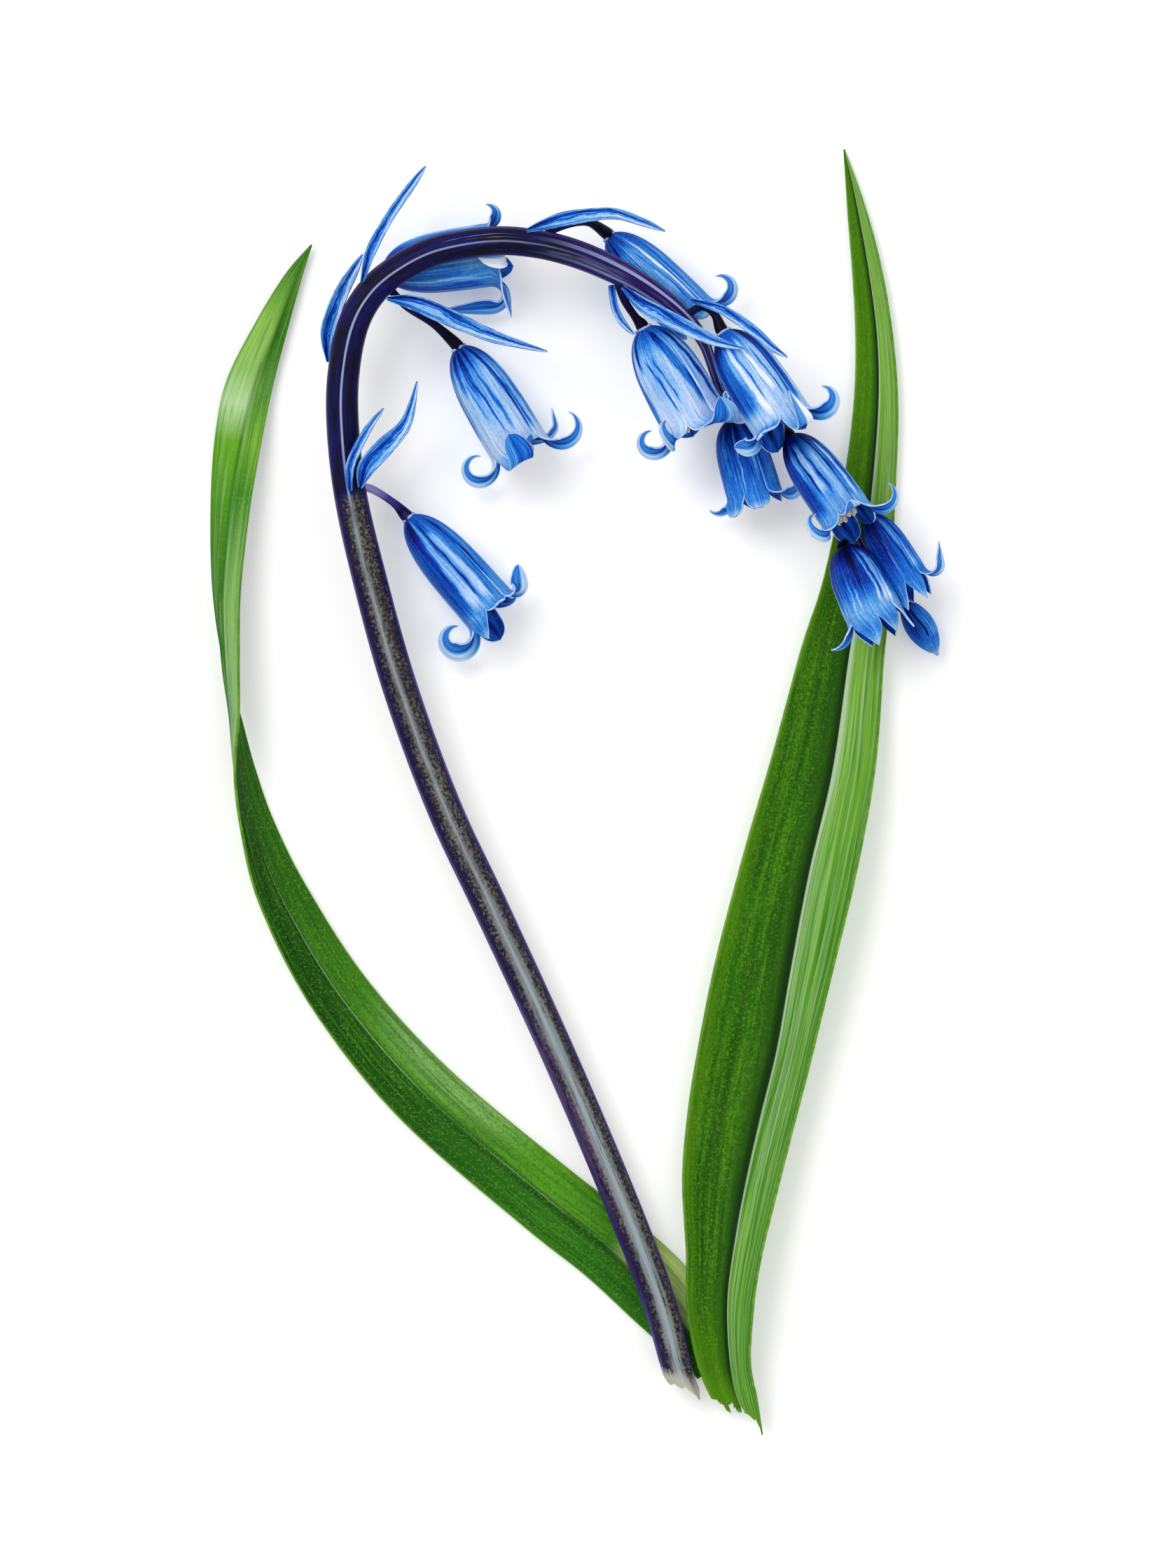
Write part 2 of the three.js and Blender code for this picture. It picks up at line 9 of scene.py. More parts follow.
import logging
import math
from dataclasses import dataclass, field
from enum import Enum
from typing import Callable, Sequence

import bpy
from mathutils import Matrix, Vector

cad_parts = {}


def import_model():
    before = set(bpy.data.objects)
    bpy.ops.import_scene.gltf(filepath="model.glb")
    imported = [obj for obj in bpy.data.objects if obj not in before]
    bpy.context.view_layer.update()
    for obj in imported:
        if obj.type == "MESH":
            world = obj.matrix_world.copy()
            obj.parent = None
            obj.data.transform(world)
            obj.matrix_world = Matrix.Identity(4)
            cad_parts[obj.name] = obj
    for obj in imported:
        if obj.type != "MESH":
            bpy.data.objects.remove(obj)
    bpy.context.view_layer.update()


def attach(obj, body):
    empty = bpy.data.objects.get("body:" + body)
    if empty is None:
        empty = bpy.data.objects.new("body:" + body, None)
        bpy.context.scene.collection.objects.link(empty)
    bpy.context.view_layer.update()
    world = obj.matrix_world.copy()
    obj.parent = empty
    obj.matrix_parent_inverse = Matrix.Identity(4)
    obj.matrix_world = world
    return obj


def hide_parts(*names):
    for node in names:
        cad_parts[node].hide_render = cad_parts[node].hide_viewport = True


LOG = logging.getLogger("bluebell")
MM = 0.001
UV_NAME = "UVMap"
ROUND_NAME = "round"
CURL_NAME = "curl"
ROOT_BODY = "root"

# Points nearer than this, in metres, become one
WELD = 1e-7
# Roughness of smooth living tissue
SATIN = 0.55

# Short names for what functions take and give
Row = Sequence[float]
Pairs = Sequence[tuple[float, float]]
Place = Callable[[float, float], Vector]
Feed = object
Item = bpy.types.Object
Material = bpy.types.Material
Socket = bpy.types.NodeSocket
Tree = bpy.types.NodeTree


class Slot(Enum):
    """The record's material slots."""

    STEM = "stem"
    LEAF = "leaf"
    TEPAL = "tepal"
    BRACT = "bract"
    STAMEN = "stamen"


class Side(Enum):
    """Which way a blade's own faces look, and so which finish the eye sees."""

    UPPER = 0
    UNDER = 1
    RIM = 2


# Lines, tables and places


def smooth_rows(rows: Sequence[Row], steps: int) -> list[list[float]]:
    """Runs a smooth line through rows of numbers.

    Args:
        rows: Places, each followed by what belongs to it.
        steps: Steps between two rows.

    Returns:
        The rows with the new ones between them.
    """

    def blend(a: float, b: float, c: float, d: float, t: float) -> float:
        """A smooth curve from b to c that heads as their neighbours a and d ask."""
        cubic = 2 * a - 5 * b + 4 * c - d
        return 0.5 * (2 * b + (c - a) * t + cubic * t * t + (3 * b - a - 3 * c + d) * t**3)

    out: list[list[float]] = []
    last = len(rows) - 1
    for i in range(last):
        four = list(zip(rows[max(i - 1, 0)], rows[i], rows[i + 1], rows[min(i + 2, last)]))
        out += [[blend(*numbers, k / steps) for numbers in four] for k in range(steps)]
    out.append(list(rows[last]))
    return out


def lerp(a: float, b: float, share: float) -> float:
    """The number a share of the way from a to b."""
    return a + (b - a) * share


def held(share: float) -> float:
    """A number held between 0 and 1."""
    return min(1.0, max(0.0, share))


def ease(low: float, high: float, value: float) -> float:
    """Rises smoothly from 0 at low to 1 at high."""
    share = held((value - low) / (high - low))
    return share * share * (3 - 2 * share)


def at_share(pairs: Pairs, share: float) -> float:
    """Reads a table of shares and values.

    Args:
        pairs: Rising shares, each with its value.
        share: Where to read.

    Returns:
        The value there, on a straight line between its neighbours.
    """
    for (s0, v0), (s1, v1) in zip(pairs, pairs[1:]):
        if share <= s1:
            return lerp(v0, v1, max(0.0, (share - s0) / (s1 - s0)))
    return pairs[-1][1]


def across_and_up(travel: Vector) -> tuple[Vector, Vector]:
    """The level direction across a line, and the one that rises square to both."""
    level = Vector((0, 0, 1)).cross(travel).normalized()
    return level, travel.cross(level).normalized()


class Line:
    """A smooth line that is read by the share of its length."""

    def __init__(self, rows: Sequence[Row], steps: int) -> None:
        """Measures the line.

        Args:
            rows: Places with what belongs to them.
            steps: Steps between two rows.
        """
        self.rows = smooth_rows(rows, steps)
        self.places = [Vector(row[:3]) for row in self.rows]
        self.shares = [0.0]
        for a, b in zip(self.places, self.places[1:]):
            self.shares.append(self.shares[-1] + (b - a).length)
        self.length = self.shares[-1]
        self.shares = [share / self.length for share in self.shares]

    def find(self, share: float) -> tuple[int, float]:
        """Finds a share of the length.

        Args:
            share: The share.

        Returns:
            The number of the step that it lies in, and how far into it.
        """
        share = held(share)
        low, high = 0, len(self.shares) - 1
        while high - low > 1:
            middle = (low + high) // 2
            low, high = (middle, high) if self.shares[middle] <= share else (low, middle)
        return low, (share - self.shares[low]) / (self.shares[high] - self.shares[low])

    def row(self, share: float) -> list[float]:
        """All numbers of the line at a share of its length."""
        i, part = self.find(share)
        return [lerp(a, b, part) for a, b in zip(self.rows[i], self.rows[i + 1])]

    def travel(self, share: float) -> Vector:
        """Direction of the line at a share of its length."""
        i, part = self.find(share)
        return self.slope(i).lerp(self.slope(i + 1), part).normalized()

    def slope(self, i: int) -> Vector:
        """Direction at one of the line's own places."""
        ahead = self.places[min(i + 1, len(self.places) - 1)]
        return (ahead - self.places[max(i - 1, 0)]).normalized()

    def share_near(self, place: Vector) -> float:
        """The share of the length at which the line comes nearest to a place."""
        nearest = min(range(len(self.places)), key=lambda i: (self.places[i] - place).length)
        return self.shares[nearest]


# Modelling, as by hand


def only(*objects: Item) -> None:
    """Selects these objects and nothing else.

    Args:
        objects: The objects, the first of them active.
    """
    bpy.ops.object.select_all(action="DESELECT")
    for item in objects:
        item.select_set(True)
    bpy.context.view_layer.objects.active = objects[0]


def in_edit_mode(item: Item, work: Callable[[], object]) -> None:
    """Runs edit-mode work on one object, all of its mesh selected.

    Args:
        item: The mesh to shape.
        work: What to do in edit mode.
    """
    only(item)
    bpy.ops.object.mode_set(mode="EDIT")
    bpy.ops.mesh.select_all(action="SELECT")
    work()
    bpy.ops.object.mode_set(mode="OBJECT")


def finish_with(item: Item, kind: str, **settings: Feed) -> None:
    """Adds a modifier and applies it.

    Args:
        item: The mesh.
        kind: Blender's name for the kind of modifier.
        settings: The modifier's own settings.
    """
    only(item)
    modifier = item.modifiers.new(kind.lower(), kind)
    for key, value in settings.items():
        setattr(modifier, key, value)
    bpy.ops.object.modifier_apply(modifier=modifier.name)


def thicken(item: Item, wall: float, **settings: Feed) -> None:
    """Gives a sheet its thickness in millimetres, its finishes being in the order of Side."""
    settings |= {"material_offset": Side.UNDER.value, "material_offset_rim": Side.RIM.value}
    finish_with(item, "SOLIDIFY", thickness=wall * MM, offset=-1.0, use_even_offset=False, **settings)


def dress(item: Item, materials: Sequence[Material]) -> None:
    """Puts finishes on a mesh.

    Args:
        item: The mesh.
        materials: The finishes, the first of them for all faces that no modifier gives another.
    """
    for material in materials:
        item.data.materials.append(material)


def fresh(name: str) -> Item:
    """Names the object that has just been added."""
    bpy.context.object.name = bpy.context.object.data.name = name
    return bpy.context.object


def bent_grid(name: str, across: int, along: int, place: Place) -> Item:
    """Adds a flat grid and bends it into place, its UV map going with it.

    Args:
        name: The object's name.
        across: Faces across.
        along: Faces along.
        place: Gives the place in millimetres at shares across and along.

    Returns:
        The bent grid.
    """
    bpy.ops.mesh.primitive_grid_add(x_subdivisions=across, y_subdivisions=along, size=1)
    item = fresh(name)
    for vertex in item.data.vertices:
        u = round((vertex.co.x + 0.5) * across) / across
        v = round((vertex.co.y + 0.5) * along) / along
        vertex.co = place(u, v) * MM
    return item


def bent_rows(name: str, across: int, rows: int, split: float, first: int, place: Place) -> Item:
    """A bent grid whose rows stand closer on one side of a split.

    Args:
        name: The object's name.
        across: Faces across.
        rows: Faces along.
        split: The share along at which the spacing changes.
        first: Faces along before the split.
        place: Gives the place in millimetres at shares across and along.

    Returns:
        The grid, with the true shares in its UV map.
    """

    def share_of(v: float) -> float:
        """The true share along at a share of the rows."""
        row = round(v * rows)
        return split * row / first if row <= first else lerp(split, 1, (row - first) / (rows - first))

    item = bent_grid(name, across, rows, lambda u, v: place(u, share_of(v)))
    for corner in item.data.uv_layers[0].uv:
        corner.vector = (corner.vector.x, share_of(corner.vector.y))
    return item


def weigh(item: Item, weight_of: Callable[[float, float], float], across: int, along: int) -> str:
    """Puts a vertex group on a grid that has just been bent.

    Args:
        item: The grid, its vertices still in rows.
        weight_of: Gives the weight at shares across and along.
        across: Faces across.
        along: Faces along.

    Returns:
        The group's name.
    """
    group = item.vertex_groups.new(name="wall")
    for j in range(along + 1):
        for i in range(across + 1):
            group.add([j * (across + 1) + i], weight_of(i / across, j / along), "REPLACE")
    return group.name


def joined(name: str, pieces: Sequence[Item]) -> Item:
    """Joins pieces into one object.

    Args:
        name: The new name.
        pieces: The objects, of which the first is kept.

    Returns:
        The joined object.
    """
    only(*pieces)
    bpy.ops.object.join()
    whole = bpy.context.view_layer.objects.active
    whole.name = whole.data.name = name
    return whole


def lift_to_surface(item: Item) -> None:
    """Presses flat whatever would reach below the surface that the plant lies on.

    Args:
        item: The mesh.
    """
    for vertex in item.data.vertices:
        vertex.co.z = max(vertex.co.z, 0.0)


def smooth(item: Item, crease: float = 60.0) -> None:
    """Shades a mesh smoothly, apart from edges sharper than the crease in degrees."""
    only(item)
    bpy.ops.object.shade_smooth_by_angle(angle=math.radians(crease))


def close_rod() -> None:
    """Joins the seam of a rod in edit mode and closes both its ends."""
    bpy.ops.mesh.remove_doubles(threshold=WELD)
    bpy.ops.mesh.select_all(action="DESELECT")
    bpy.ops.mesh.select_mode(type="EDGE")
    bpy.ops.mesh.select_non_manifold()
    bpy.ops.mesh.fill_holes(sides=0)
    bpy.ops.mesh.select_all(action="SELECT")
    bpy.ops.mesh.normals_make_consistent(inside=False)


# How far up a torn foot its rows are moved, in millimetres
TORN_SPAN = 9.0
# A foot with nothing torn off: share across or round, millimetres missing
WHOLE = ((0.0, 0.0), (1.0, 0.0))


def tube(
    name: str,
    line: Line,
    sides: int,
    rings: int,
    shape: Callable[[float, float], float] | None = None,
    tear: Pairs = WHOLE,
) -> Item:
    """A closed round rod along a line, with its UV map round and along it.

    Args:
        name: The object's name.
        line: The middle line, with the radius as the fourth number.
        sides: Faces round.
        rings: Faces along.
        shape: Gives a factor on the radius at shares round and along.
        tear: How many millimetres are missing at the foot, at shares round.

    Returns:
        The rod.
    """
    levels: list[Vector] = []
    level = across_and_up(line.travel(0))[0]
    for j in range(rings + 1):
        travel = line.travel(j / rings)
        level = (level - travel * level.dot(travel)).normalized()
        levels.append(level.copy())

    def place(u: float, v: float) -> Vector:
        """A place on the rod's skin.

        Args:
            u: The share round.
            v: The share along.

        Returns:
            The place in millimetres.
        """
        share = v + at_share(tear, u) / line.length * (1 - ease(0, TORN_SPAN / line.length, v))
        row = line.row(share)
        angle = 2 * math.pi * u
        radius = row[3] * (shape(u, v) if shape else 1)
        level = levels[round(v * rings)]
        rise = line.travel(share).cross(level)
        return Vector(row[:3]) + (level * math.cos(angle) + rise * math.sin(angle)) * radius

    item = bent_grid(name, sides, rings, place)
    in_edit_mode(item, close_rod)
    return item


# Finishes


def colour(hexadecimal: int) -> tuple[float, float, float, float]:
    """A screen colour as the linear colour that shaders take.

    Args:
        hexadecimal: Its red, green and blue, two digits each.

    Returns:
        Linear red, green and blue, and full cover.
    """

    def linear(value: int) -> float:
        """One channel of it."""
        share = value / 255
        return share / 12.92 if share <= 0.04045 else ((share + 0.055) / 1.055) ** 2.4

    return (*(linear((hexadecimal >> shift) & 255) for shift in (16, 8, 0)), 1.0)


class Graph:
    """Builds one node tree, each method adding a node and giving back its output."""

    def __init__(self, tree: Tree) -> None:
        """Starts on a tree."""
        self.tree = tree

    def feed(self, socket: Socket, value: Feed) -> None:
        """Links a socket to an output, or sets it to a plain value.

        Args:
            socket: The input.
            value: An output, a number or a colour.
        """
        if isinstance(value, Socket):
            self.tree.links.new(value, socket)
        else:
            socket.default_value = value

    def add(self, kind: str, feeds: dict[str | int, Feed], **settings: Feed) -> bpy.types.Node:
        """Adds a node.

        Args:
            kind: Blender's name for the kind of node.
            feeds: What goes into its inputs, by name or number.
            settings: Its own settings.

        Returns:
            The node.
        """
        node = self.tree.nodes.new(kind)
        for key, value in settings.items():
            setattr(node, key, value)
        for key, value in feeds.items():
            self.feed(node.inputs[key], value)
        return node

    def math(self, operation: str, *values: Feed) -> Socket:
        """One sum on up to three numbers."""
        return self.add("ShaderNodeMath", dict(enumerate(values)), operation=operation).outputs[0]

    def chain(self, operation: str, values: Sequence[Feed]) -> Socket:
        """Runs one kind of sum through a row of numbers.

        Args:
            operation: Blender's name for the sum.
            values: The numbers, from the first to the last.

        Returns:
            The result.
        """
        whole = values[0]
        for value in values[1:]:
            whole = self.math(operation, whole, value)
        return whole

    def total(self, *values: Feed) -> Socket:
        """All the numbers added up."""
        return self.chain("ADD", values)

    def times(self, *values: Feed) -> Socket:
        """All the numbers multiplied: where masks meet, or a mask made weaker."""
        return self.chain("MULTIPLY", values)

    def about(self, value: Feed, reach: float) -> Socket:
        """Turns a mask from 0 to 1 into a change of half the reach, down or up."""
        return self.math("MULTIPLY_ADD", value, reach, -reach / 2)

    def away(self, value: Feed, centre: Feed) -> Socket:
        """How far a number is from another."""
        return self.math("ABSOLUTE", self.math("SUBTRACT", value, centre))

    def mix(self, share: Feed, a: Feed, b: Feed) -> Socket:
        """Mixes two colours."""
        return self.add("ShaderNodeMix", {0: share, 6: a, 7: b}, data_type="RGBA").outputs[2]

    def span(self, value: Feed, low: Feed, high: Feed, first: Feed = 0.0, last: Feed = 1.0) -> Socket:
        """Eases a number from first at low to last at high."""
        feeds = {"Value": value, "From Min": low, "From Max": high, "To Min": first, "To Max": last}
        return self.add("ShaderNodeMapRange", feeds, interpolation_type="SMOOTHSTEP").outputs[0]

    def place(self, x: Feed, y: Feed, z: Feed) -> Socket:
        """A place out of three numbers."""
        return self.add("ShaderNodeCombineXYZ", {0: x, 1: y, 2: z}).outputs[0]

    def noise(self, place: Feed, scale: Feed, detail: float, roughness: float) -> Socket:
        """Soft noise, about 0.5."""
        feeds = {"Vector": place, "Scale": scale, "Detail": detail, "Roughness": roughness}
        return self.add("ShaderNodeTexNoise", feeds).outputs[0]

    def ramp(self, value: Feed, stops: Sequence[tuple[float, int]]) -> Socket:
        """A row of colours read by a number.

        Args:
            value: The number.
            stops: Where each colour stands, and the colour.

        Returns:
            The colour output.
        """
        node = self.add("ShaderNodeValToRGB", {0: value})
        elements = node.color_ramp.elements
        for element, (where, tone) in zip(elements, (stops[0], stops[-1])):
            element.position = where
            element.color = colour(tone)
        for where, tone in stops[1:-1]:
            elements.new(where).color = colour(tone)
        return node.outputs[0]


def new_group(name: str, takes: dict[str, float], gives: str) -> tuple[Graph, Sequence[Socket], Socket]:
    """Starts a shader node group.

    Args:
        name: The group's name.
        takes: Its number inputs with their usual values.
        gives: Its one number output.

    Returns:
        The graph to build in, what the group takes, and the socket for what it gives.
    """
    tree = bpy.data.node_groups.new(name, "ShaderNodeTree")
    for label, usual in takes.items():
        socket = tree.interface.new_socket(name=label, in_out="INPUT", socket_type="NodeSocketFloat")
        socket.default_value = usual
    tree.interface.new_socket(name=gives, in_out="OUTPUT", socket_type="NodeSocketFloat")
    given, result = tree.nodes.new("NodeGroupInput"), tree.nodes.new("NodeGroupOutput")
    return Graph(tree), given.outputs, result.inputs[0]


class SharedEffects:
    """Node groups that more than one finish uses, built once."""

    def __init__(self) -> None:
        """Builds the groups."""
        self.streaks = self.build_streaks()
        self.band = self.build_band()
        self.grain = self.build_grain()
        self.veins = self.build_veins()
        self.stroke = self.build_stroke()

    @staticmethod
    def build_streaks() -> Tree:
        """Long brush-like streaks that run along a blade, from 0 to 1.

        Returns:
            The group.
        """
        takes = {"Across": 0.0, "Along": 0.0, "Count": 8.0, "Length": 2.0, "Seed": 0.0}
        graph, given, out = new_group("lengthwise streaks", {**takes, "From": 0.4, "To": 0.6}, "Mask")
        x = graph.times(given["Across"], given["Count"])
        y = graph.times(given["Along"], given["Length"])
        noise = graph.noise(graph.place(x, y, given["Seed"]), 1.0, 3.0, 0.6)
        graph.feed(out, graph.span(noise, given["From"], given["To"]))
        return graph.tree

    @staticmethod
    def build_band() -> Tree:
        """A soft-edged stripe round one value, 1 inside it.

        Returns:
            The group.
        """
        takes = {"Value": 0.0, "Centre": 0.5, "Half": 0.05, "Soft": 0.05}
        graph, given, out = new_group("soft band", takes, "Mask")
        away = graph.away(given["Value"], given["Centre"])
        edge = graph.math("ADD", given["Half"], given["Soft"])
        graph.feed(out, graph.span(away, given["Half"], edge, 1.0, 0.0))
        return graph.tree

    @staticmethod
    def build_grain() -> Tree:
        """Fine mottling of the tissue, the same size everywhere, from 0 to 1.

        Returns:
            The group.
        """
        graph, given, out = new_group("tissue grain", {"Scale": 2500.0, "From": 0.35, "To": 0.65}, "Mask")
        place = graph.add("ShaderNodeTexCoord", {}).outputs["Object"]
        noise = graph.noise(place, given["Scale"], 4.0, 0.65)
        graph.feed(out, graph.span(noise, given["From"], given["To"]))
        return graph.tree

    @staticmethod
    def build_veins() -> Tree:
        """Parallel lines along a blade that wander a little, from 0 to 1.

        Returns:
            The group.
        """
        takes = {"Across": 0.0, "Along": 0.0, "Count": 12.0, "Thin": 0.8, "Seed": 0.0, "Wander": 0.05}
        graph, given, out = new_group("parallel veins", takes, "Mask")
        drift = graph.place(given["Across"], graph.times(given["Along"], 4.0), given["Seed"])
        wobble = graph.times(graph.noise(drift, 2.0, 1.0, 0.5), given["Wander"])
        phase = graph.times(graph.math("ADD", given["Across"], wobble), given["Count"])
        wave = graph.math("COSINE", graph.times(phase, 2 * math.pi))
        graph.feed(out, graph.span(wave, given["Thin"], 1.0))
        return graph.tree

    @staticmethod
    def build_stroke() -> Tree:
        """One band along a bell, as the change of tone that it makes.

        Returns:
            The group.
        """
        takes = {"Angle": 0.0, "Share": 0.0, "Foot": 90.0, "Mouth": 90.0, "Half": 10.0, "Spread": 1.0}
        takes |= {"Tone": 0.2, "Start": 0.0, "End": 1.0}
        graph, given, out = new_group("bell stroke", takes, "Change")
        share = given["Share"]
        swerve = graph.math("SUBTRACT", given["Mouth"], given["Foot"])
        way = graph.math("MULTIPLY_ADD", share, swerve, given["Foot"])
        growth = graph.math("MULTIPLY_ADD", share, graph.math("SUBTRACT", given["Spread"], 1.0), 1.0)
        half = graph.times(given["Half"], growth)
        outer = graph.math("MULTIPLY_ADD", half, 1.2, 0.6)
        mask = graph.span(graph.away(given["Angle"], way), graph.times(half, 0.55), outer, 1.0, 0.0)
        starts = graph.math("SUBTRACT", given["Start"], 0.04), graph.math("ADD", given["Start"], 0.08)
        ends = graph.math("SUBTRACT", given["End"], 0.14), graph.math("ADD", given["End"], 0.04)
        mask = graph.times(mask, graph.span(share, *starts), graph.span(share, *ends, 1.0, 0.0))
        graph.feed(out, graph.times(mask, given["Tone"]))
        return graph.tree


class Painter(Graph):
    """A material under way: its graph, the UV map's shares, and the shader at its end."""

    def __init__(self, name: str, effects: SharedEffects, roughness: float = SATIN) -> None:
        """Starts a material.

        Args:
            name: The material's name.
            effects: The shared node groups.
            roughness: Its mean roughness.
        """
        self.material = bpy.data.materials.new(name)
        self.material.use_nodes = True
        self.material.node_tree.nodes.clear()
        super().__init__(self.material.node_tree)
        self.effects = effects
        self.roughness = roughness
        uv = self.add("ShaderNodeUVMap", {}, uv_map=UV_NAME).outputs[0]
        shares = self.add("ShaderNodeSeparateXYZ", {0: uv})
        self.across, self.along = shares.outputs[0], shares.outputs[1]
        self.side = self.away(self.across, 0.5)

    def group(self, tree: Tree, feeds: dict[str, Feed]) -> Socket:
        """Places a shared node group and gives its one output.

        Args:
            tree: The group.
            feeds: What goes into its inputs.

        Returns:
            Its output.
        """
        node = self.add("ShaderNodeGroup", {}, node_tree=tree)
        for key, value in feeds.items():
            self.feed(node.inputs[key], value)
        return node.outputs[0]

    def attribute(self, name: str) -> Socket:
        """A number that the mesh carries at its points."""
        return self.add("ShaderNodeAttribute", {}, attribute_name=name).outputs["Fac"]

    def band(self, value: Feed, centre: Feed, half: Feed, soft: Feed) -> Socket:
        """A soft stripe."""
        return self.group(self.effects.band, {"Value": value, "Centre": centre, "Half": half, "Soft": soft})

    def streaks(self, count: float, length: float, seed: float, low: Feed = 0.3, high: Feed = 0.7) -> Socket:
        """Streaks along the blade."""
        feeds = {"Across": self.across, "Along": self.along, "Count": count, "Length": length}
        return self.group(self.effects.streaks, {**feeds, "Seed": seed, "From": low, "To": high})

    def veins(self, count: float, thin: float, seed: float, wander: float = 0.05) -> Socket:
        """Parallel lines along the blade."""
        feeds = {"Across": self.across, "Along": self.along, "Count": count, "Thin": thin, "Seed": seed}
        return self.group(self.effects.veins, {**feeds, "Wander": wander})

    def grain(self, scale: float, low: float = 0.35, high: float = 0.65) -> Socket:
        """Fine mottling."""
        return self.group(self.effects.grain, {"Scale": scale, "From": low, "To": high})

    def blend(self, mask: Feed, first: int, second: int) -> Socket:
        """Goes from one colour to another by a mask."""
        return self.mix(mask, colour(first), colour(second))

    def cover(self, base: Feed, *layers: tuple[Feed, Feed, int]) -> Socket:
        """Lays colours over one another.

        Args:
            base: The colour below them all.
            layers: For each colour its mask, how strong it is there, and the colour.

        Returns:
            The mixed colour.
        """
        for mask, amount, tone in layers:
            base = self.mix(self.times(mask, amount), base, colour(tone))
        return base

    def done(self, base: Feed, relief: Feed, height: float, gloss: float = 0.08) -> Material:
        """Ends the material in its shader.

        Args:
            base: The base colour.
            relief: The mask that gives bump and roughness.
            height: The bump's height in millimetres.
            gloss: Strength of its reflections.

        Returns:
            The material.
        """
        bump = self.add("ShaderNodeBump", {"Height": relief, "Strength": 0.6, "Distance": height * MM})
        rough = self.span(relief, 0.0, 1.0, self.roughness - 0.07, self.roughness + 0.07)
        feeds = {"Base Color": base, "Roughness": rough, "Normal": bump.outputs[0]}
        shader = self.add("ShaderNodeBsdfPrincipled", {**feeds, "Specular IOR Level": gloss})
        self.add("ShaderNodeOutputMaterial", {"Surface": shader.outputs[0]})
        return self.material


# Blue tissue from its darkest to its palest, read by a tone from 0 to 1
BLUES = (
    (0.0, 0x00083C),
    (0.14, 0x061E88),
    (0.3, 0x0B50B8),
    (0.42, 0x1C6ECC),
    (0.53, 0x428DD8),
    (0.63, 0x68A4E0),
    (0.75, 0x98BFEA),
    (0.88, 0xC5D4F0),
    (1.0, 0xEEF1FA),
)


@dataclass(frozen=True)
class Stroke:
    """One band along a bell, lighter or darker: most are the tissue's own, some lighter ones painted
    highlights.

    Attributes:
        foot: Where it starts, in degrees round the bell from its right side over the top.
        mouth: Where it ends at the mouth.
        half: Half its breadth at the foot, in degrees.
        tone: How much lighter it is, or darker where negative.
        start: Share of the bell's length at which it appears.
        end: Share at which it fades.
        spread: Its breadth at the mouth against that at the foot.
    """

    foot: float
    mouth: float
    half: float
    tone: float
    start: float = 0.0
    end: float = 1.0
    spread: float = 1.0


@dataclass(frozen=True)
class TepalFinish:
    """Blue tissue of one bell: its tones at foot, middle and mouth, and the bands along it."""

    foot: float
    middle: float
    mouth: float
    strokes: tuple[Stroke, ...] = ()
    body_share: float = 0.7
    tip_middle: float = 0.85

    def outside(self, name: str, effects: SharedEffects) -> Material:
        """The face that a bell shows.

        Args:
            name: The bell's name.
            effects: The shared node groups.

        Returns:
            The material.
        """
        paint = Painter(f"{name}_outside", effects)
        wander = paint.about(paint.streaks(2.0, 3.5, 6.6, 0.25, 0.75), 7.0)
        angle = paint.math("ADD", paint.attribute(ROUND_NAME), wander)
        share = paint.math("DIVIDE", paint.along, self.body_share)
        body = paint.span(share, 0.97, 1.03, 1.0, 0.0)
        changes = [
            paint.span(share, 0.0, 0.34, self.foot, self.middle),
            paint.span(share, 0.5, 1.0, 0.0, self.mouth - self.middle),
        ]
        for stroke in self.strokes:
            band = {name.capitalize(): value for name, value in vars(stroke).items()}
            changes.append(paint.group(effects.stroke, {"Angle": angle, "Share": share, **band}))
        # Painted shade in the grooves where neighbouring tepals meet, weaker towards the mouth
        seam = paint.times(paint.band(paint.side, 0.4, 0.03, 0.05), paint.span(share, 0.1, 0.9, 1.0, 0.3))
        changes += [
            paint.span(paint.along, self.body_share, self.tip_middle, 0.0, 0.5 - self.mouth),
            paint.span(paint.along, self.tip_middle, 1.0, 0.0, 0.32),
            paint.times(seam, -0.1),
            paint.times(paint.band(paint.side, 0.0, 0.008, 0.016), body, -0.09),
            paint.times(paint.span(paint.side, 0.45, 0.49), paint.span(share, 0.1, 0.6, 0.1, 0.3)),
            paint.about(paint.streaks(7, 1.6, 1.3, 0.25, 0.75), 0.24),
            paint.about(paint.streaks(24, 1.8, 4.7), 0.2),
            paint.about(paint.grain(2600.0), 0.07),
        ]
        return paint.done(paint.ramp(paint.total(*changes), BLUES), paint.streaks(26, 2.0, 5.5), 0.04)


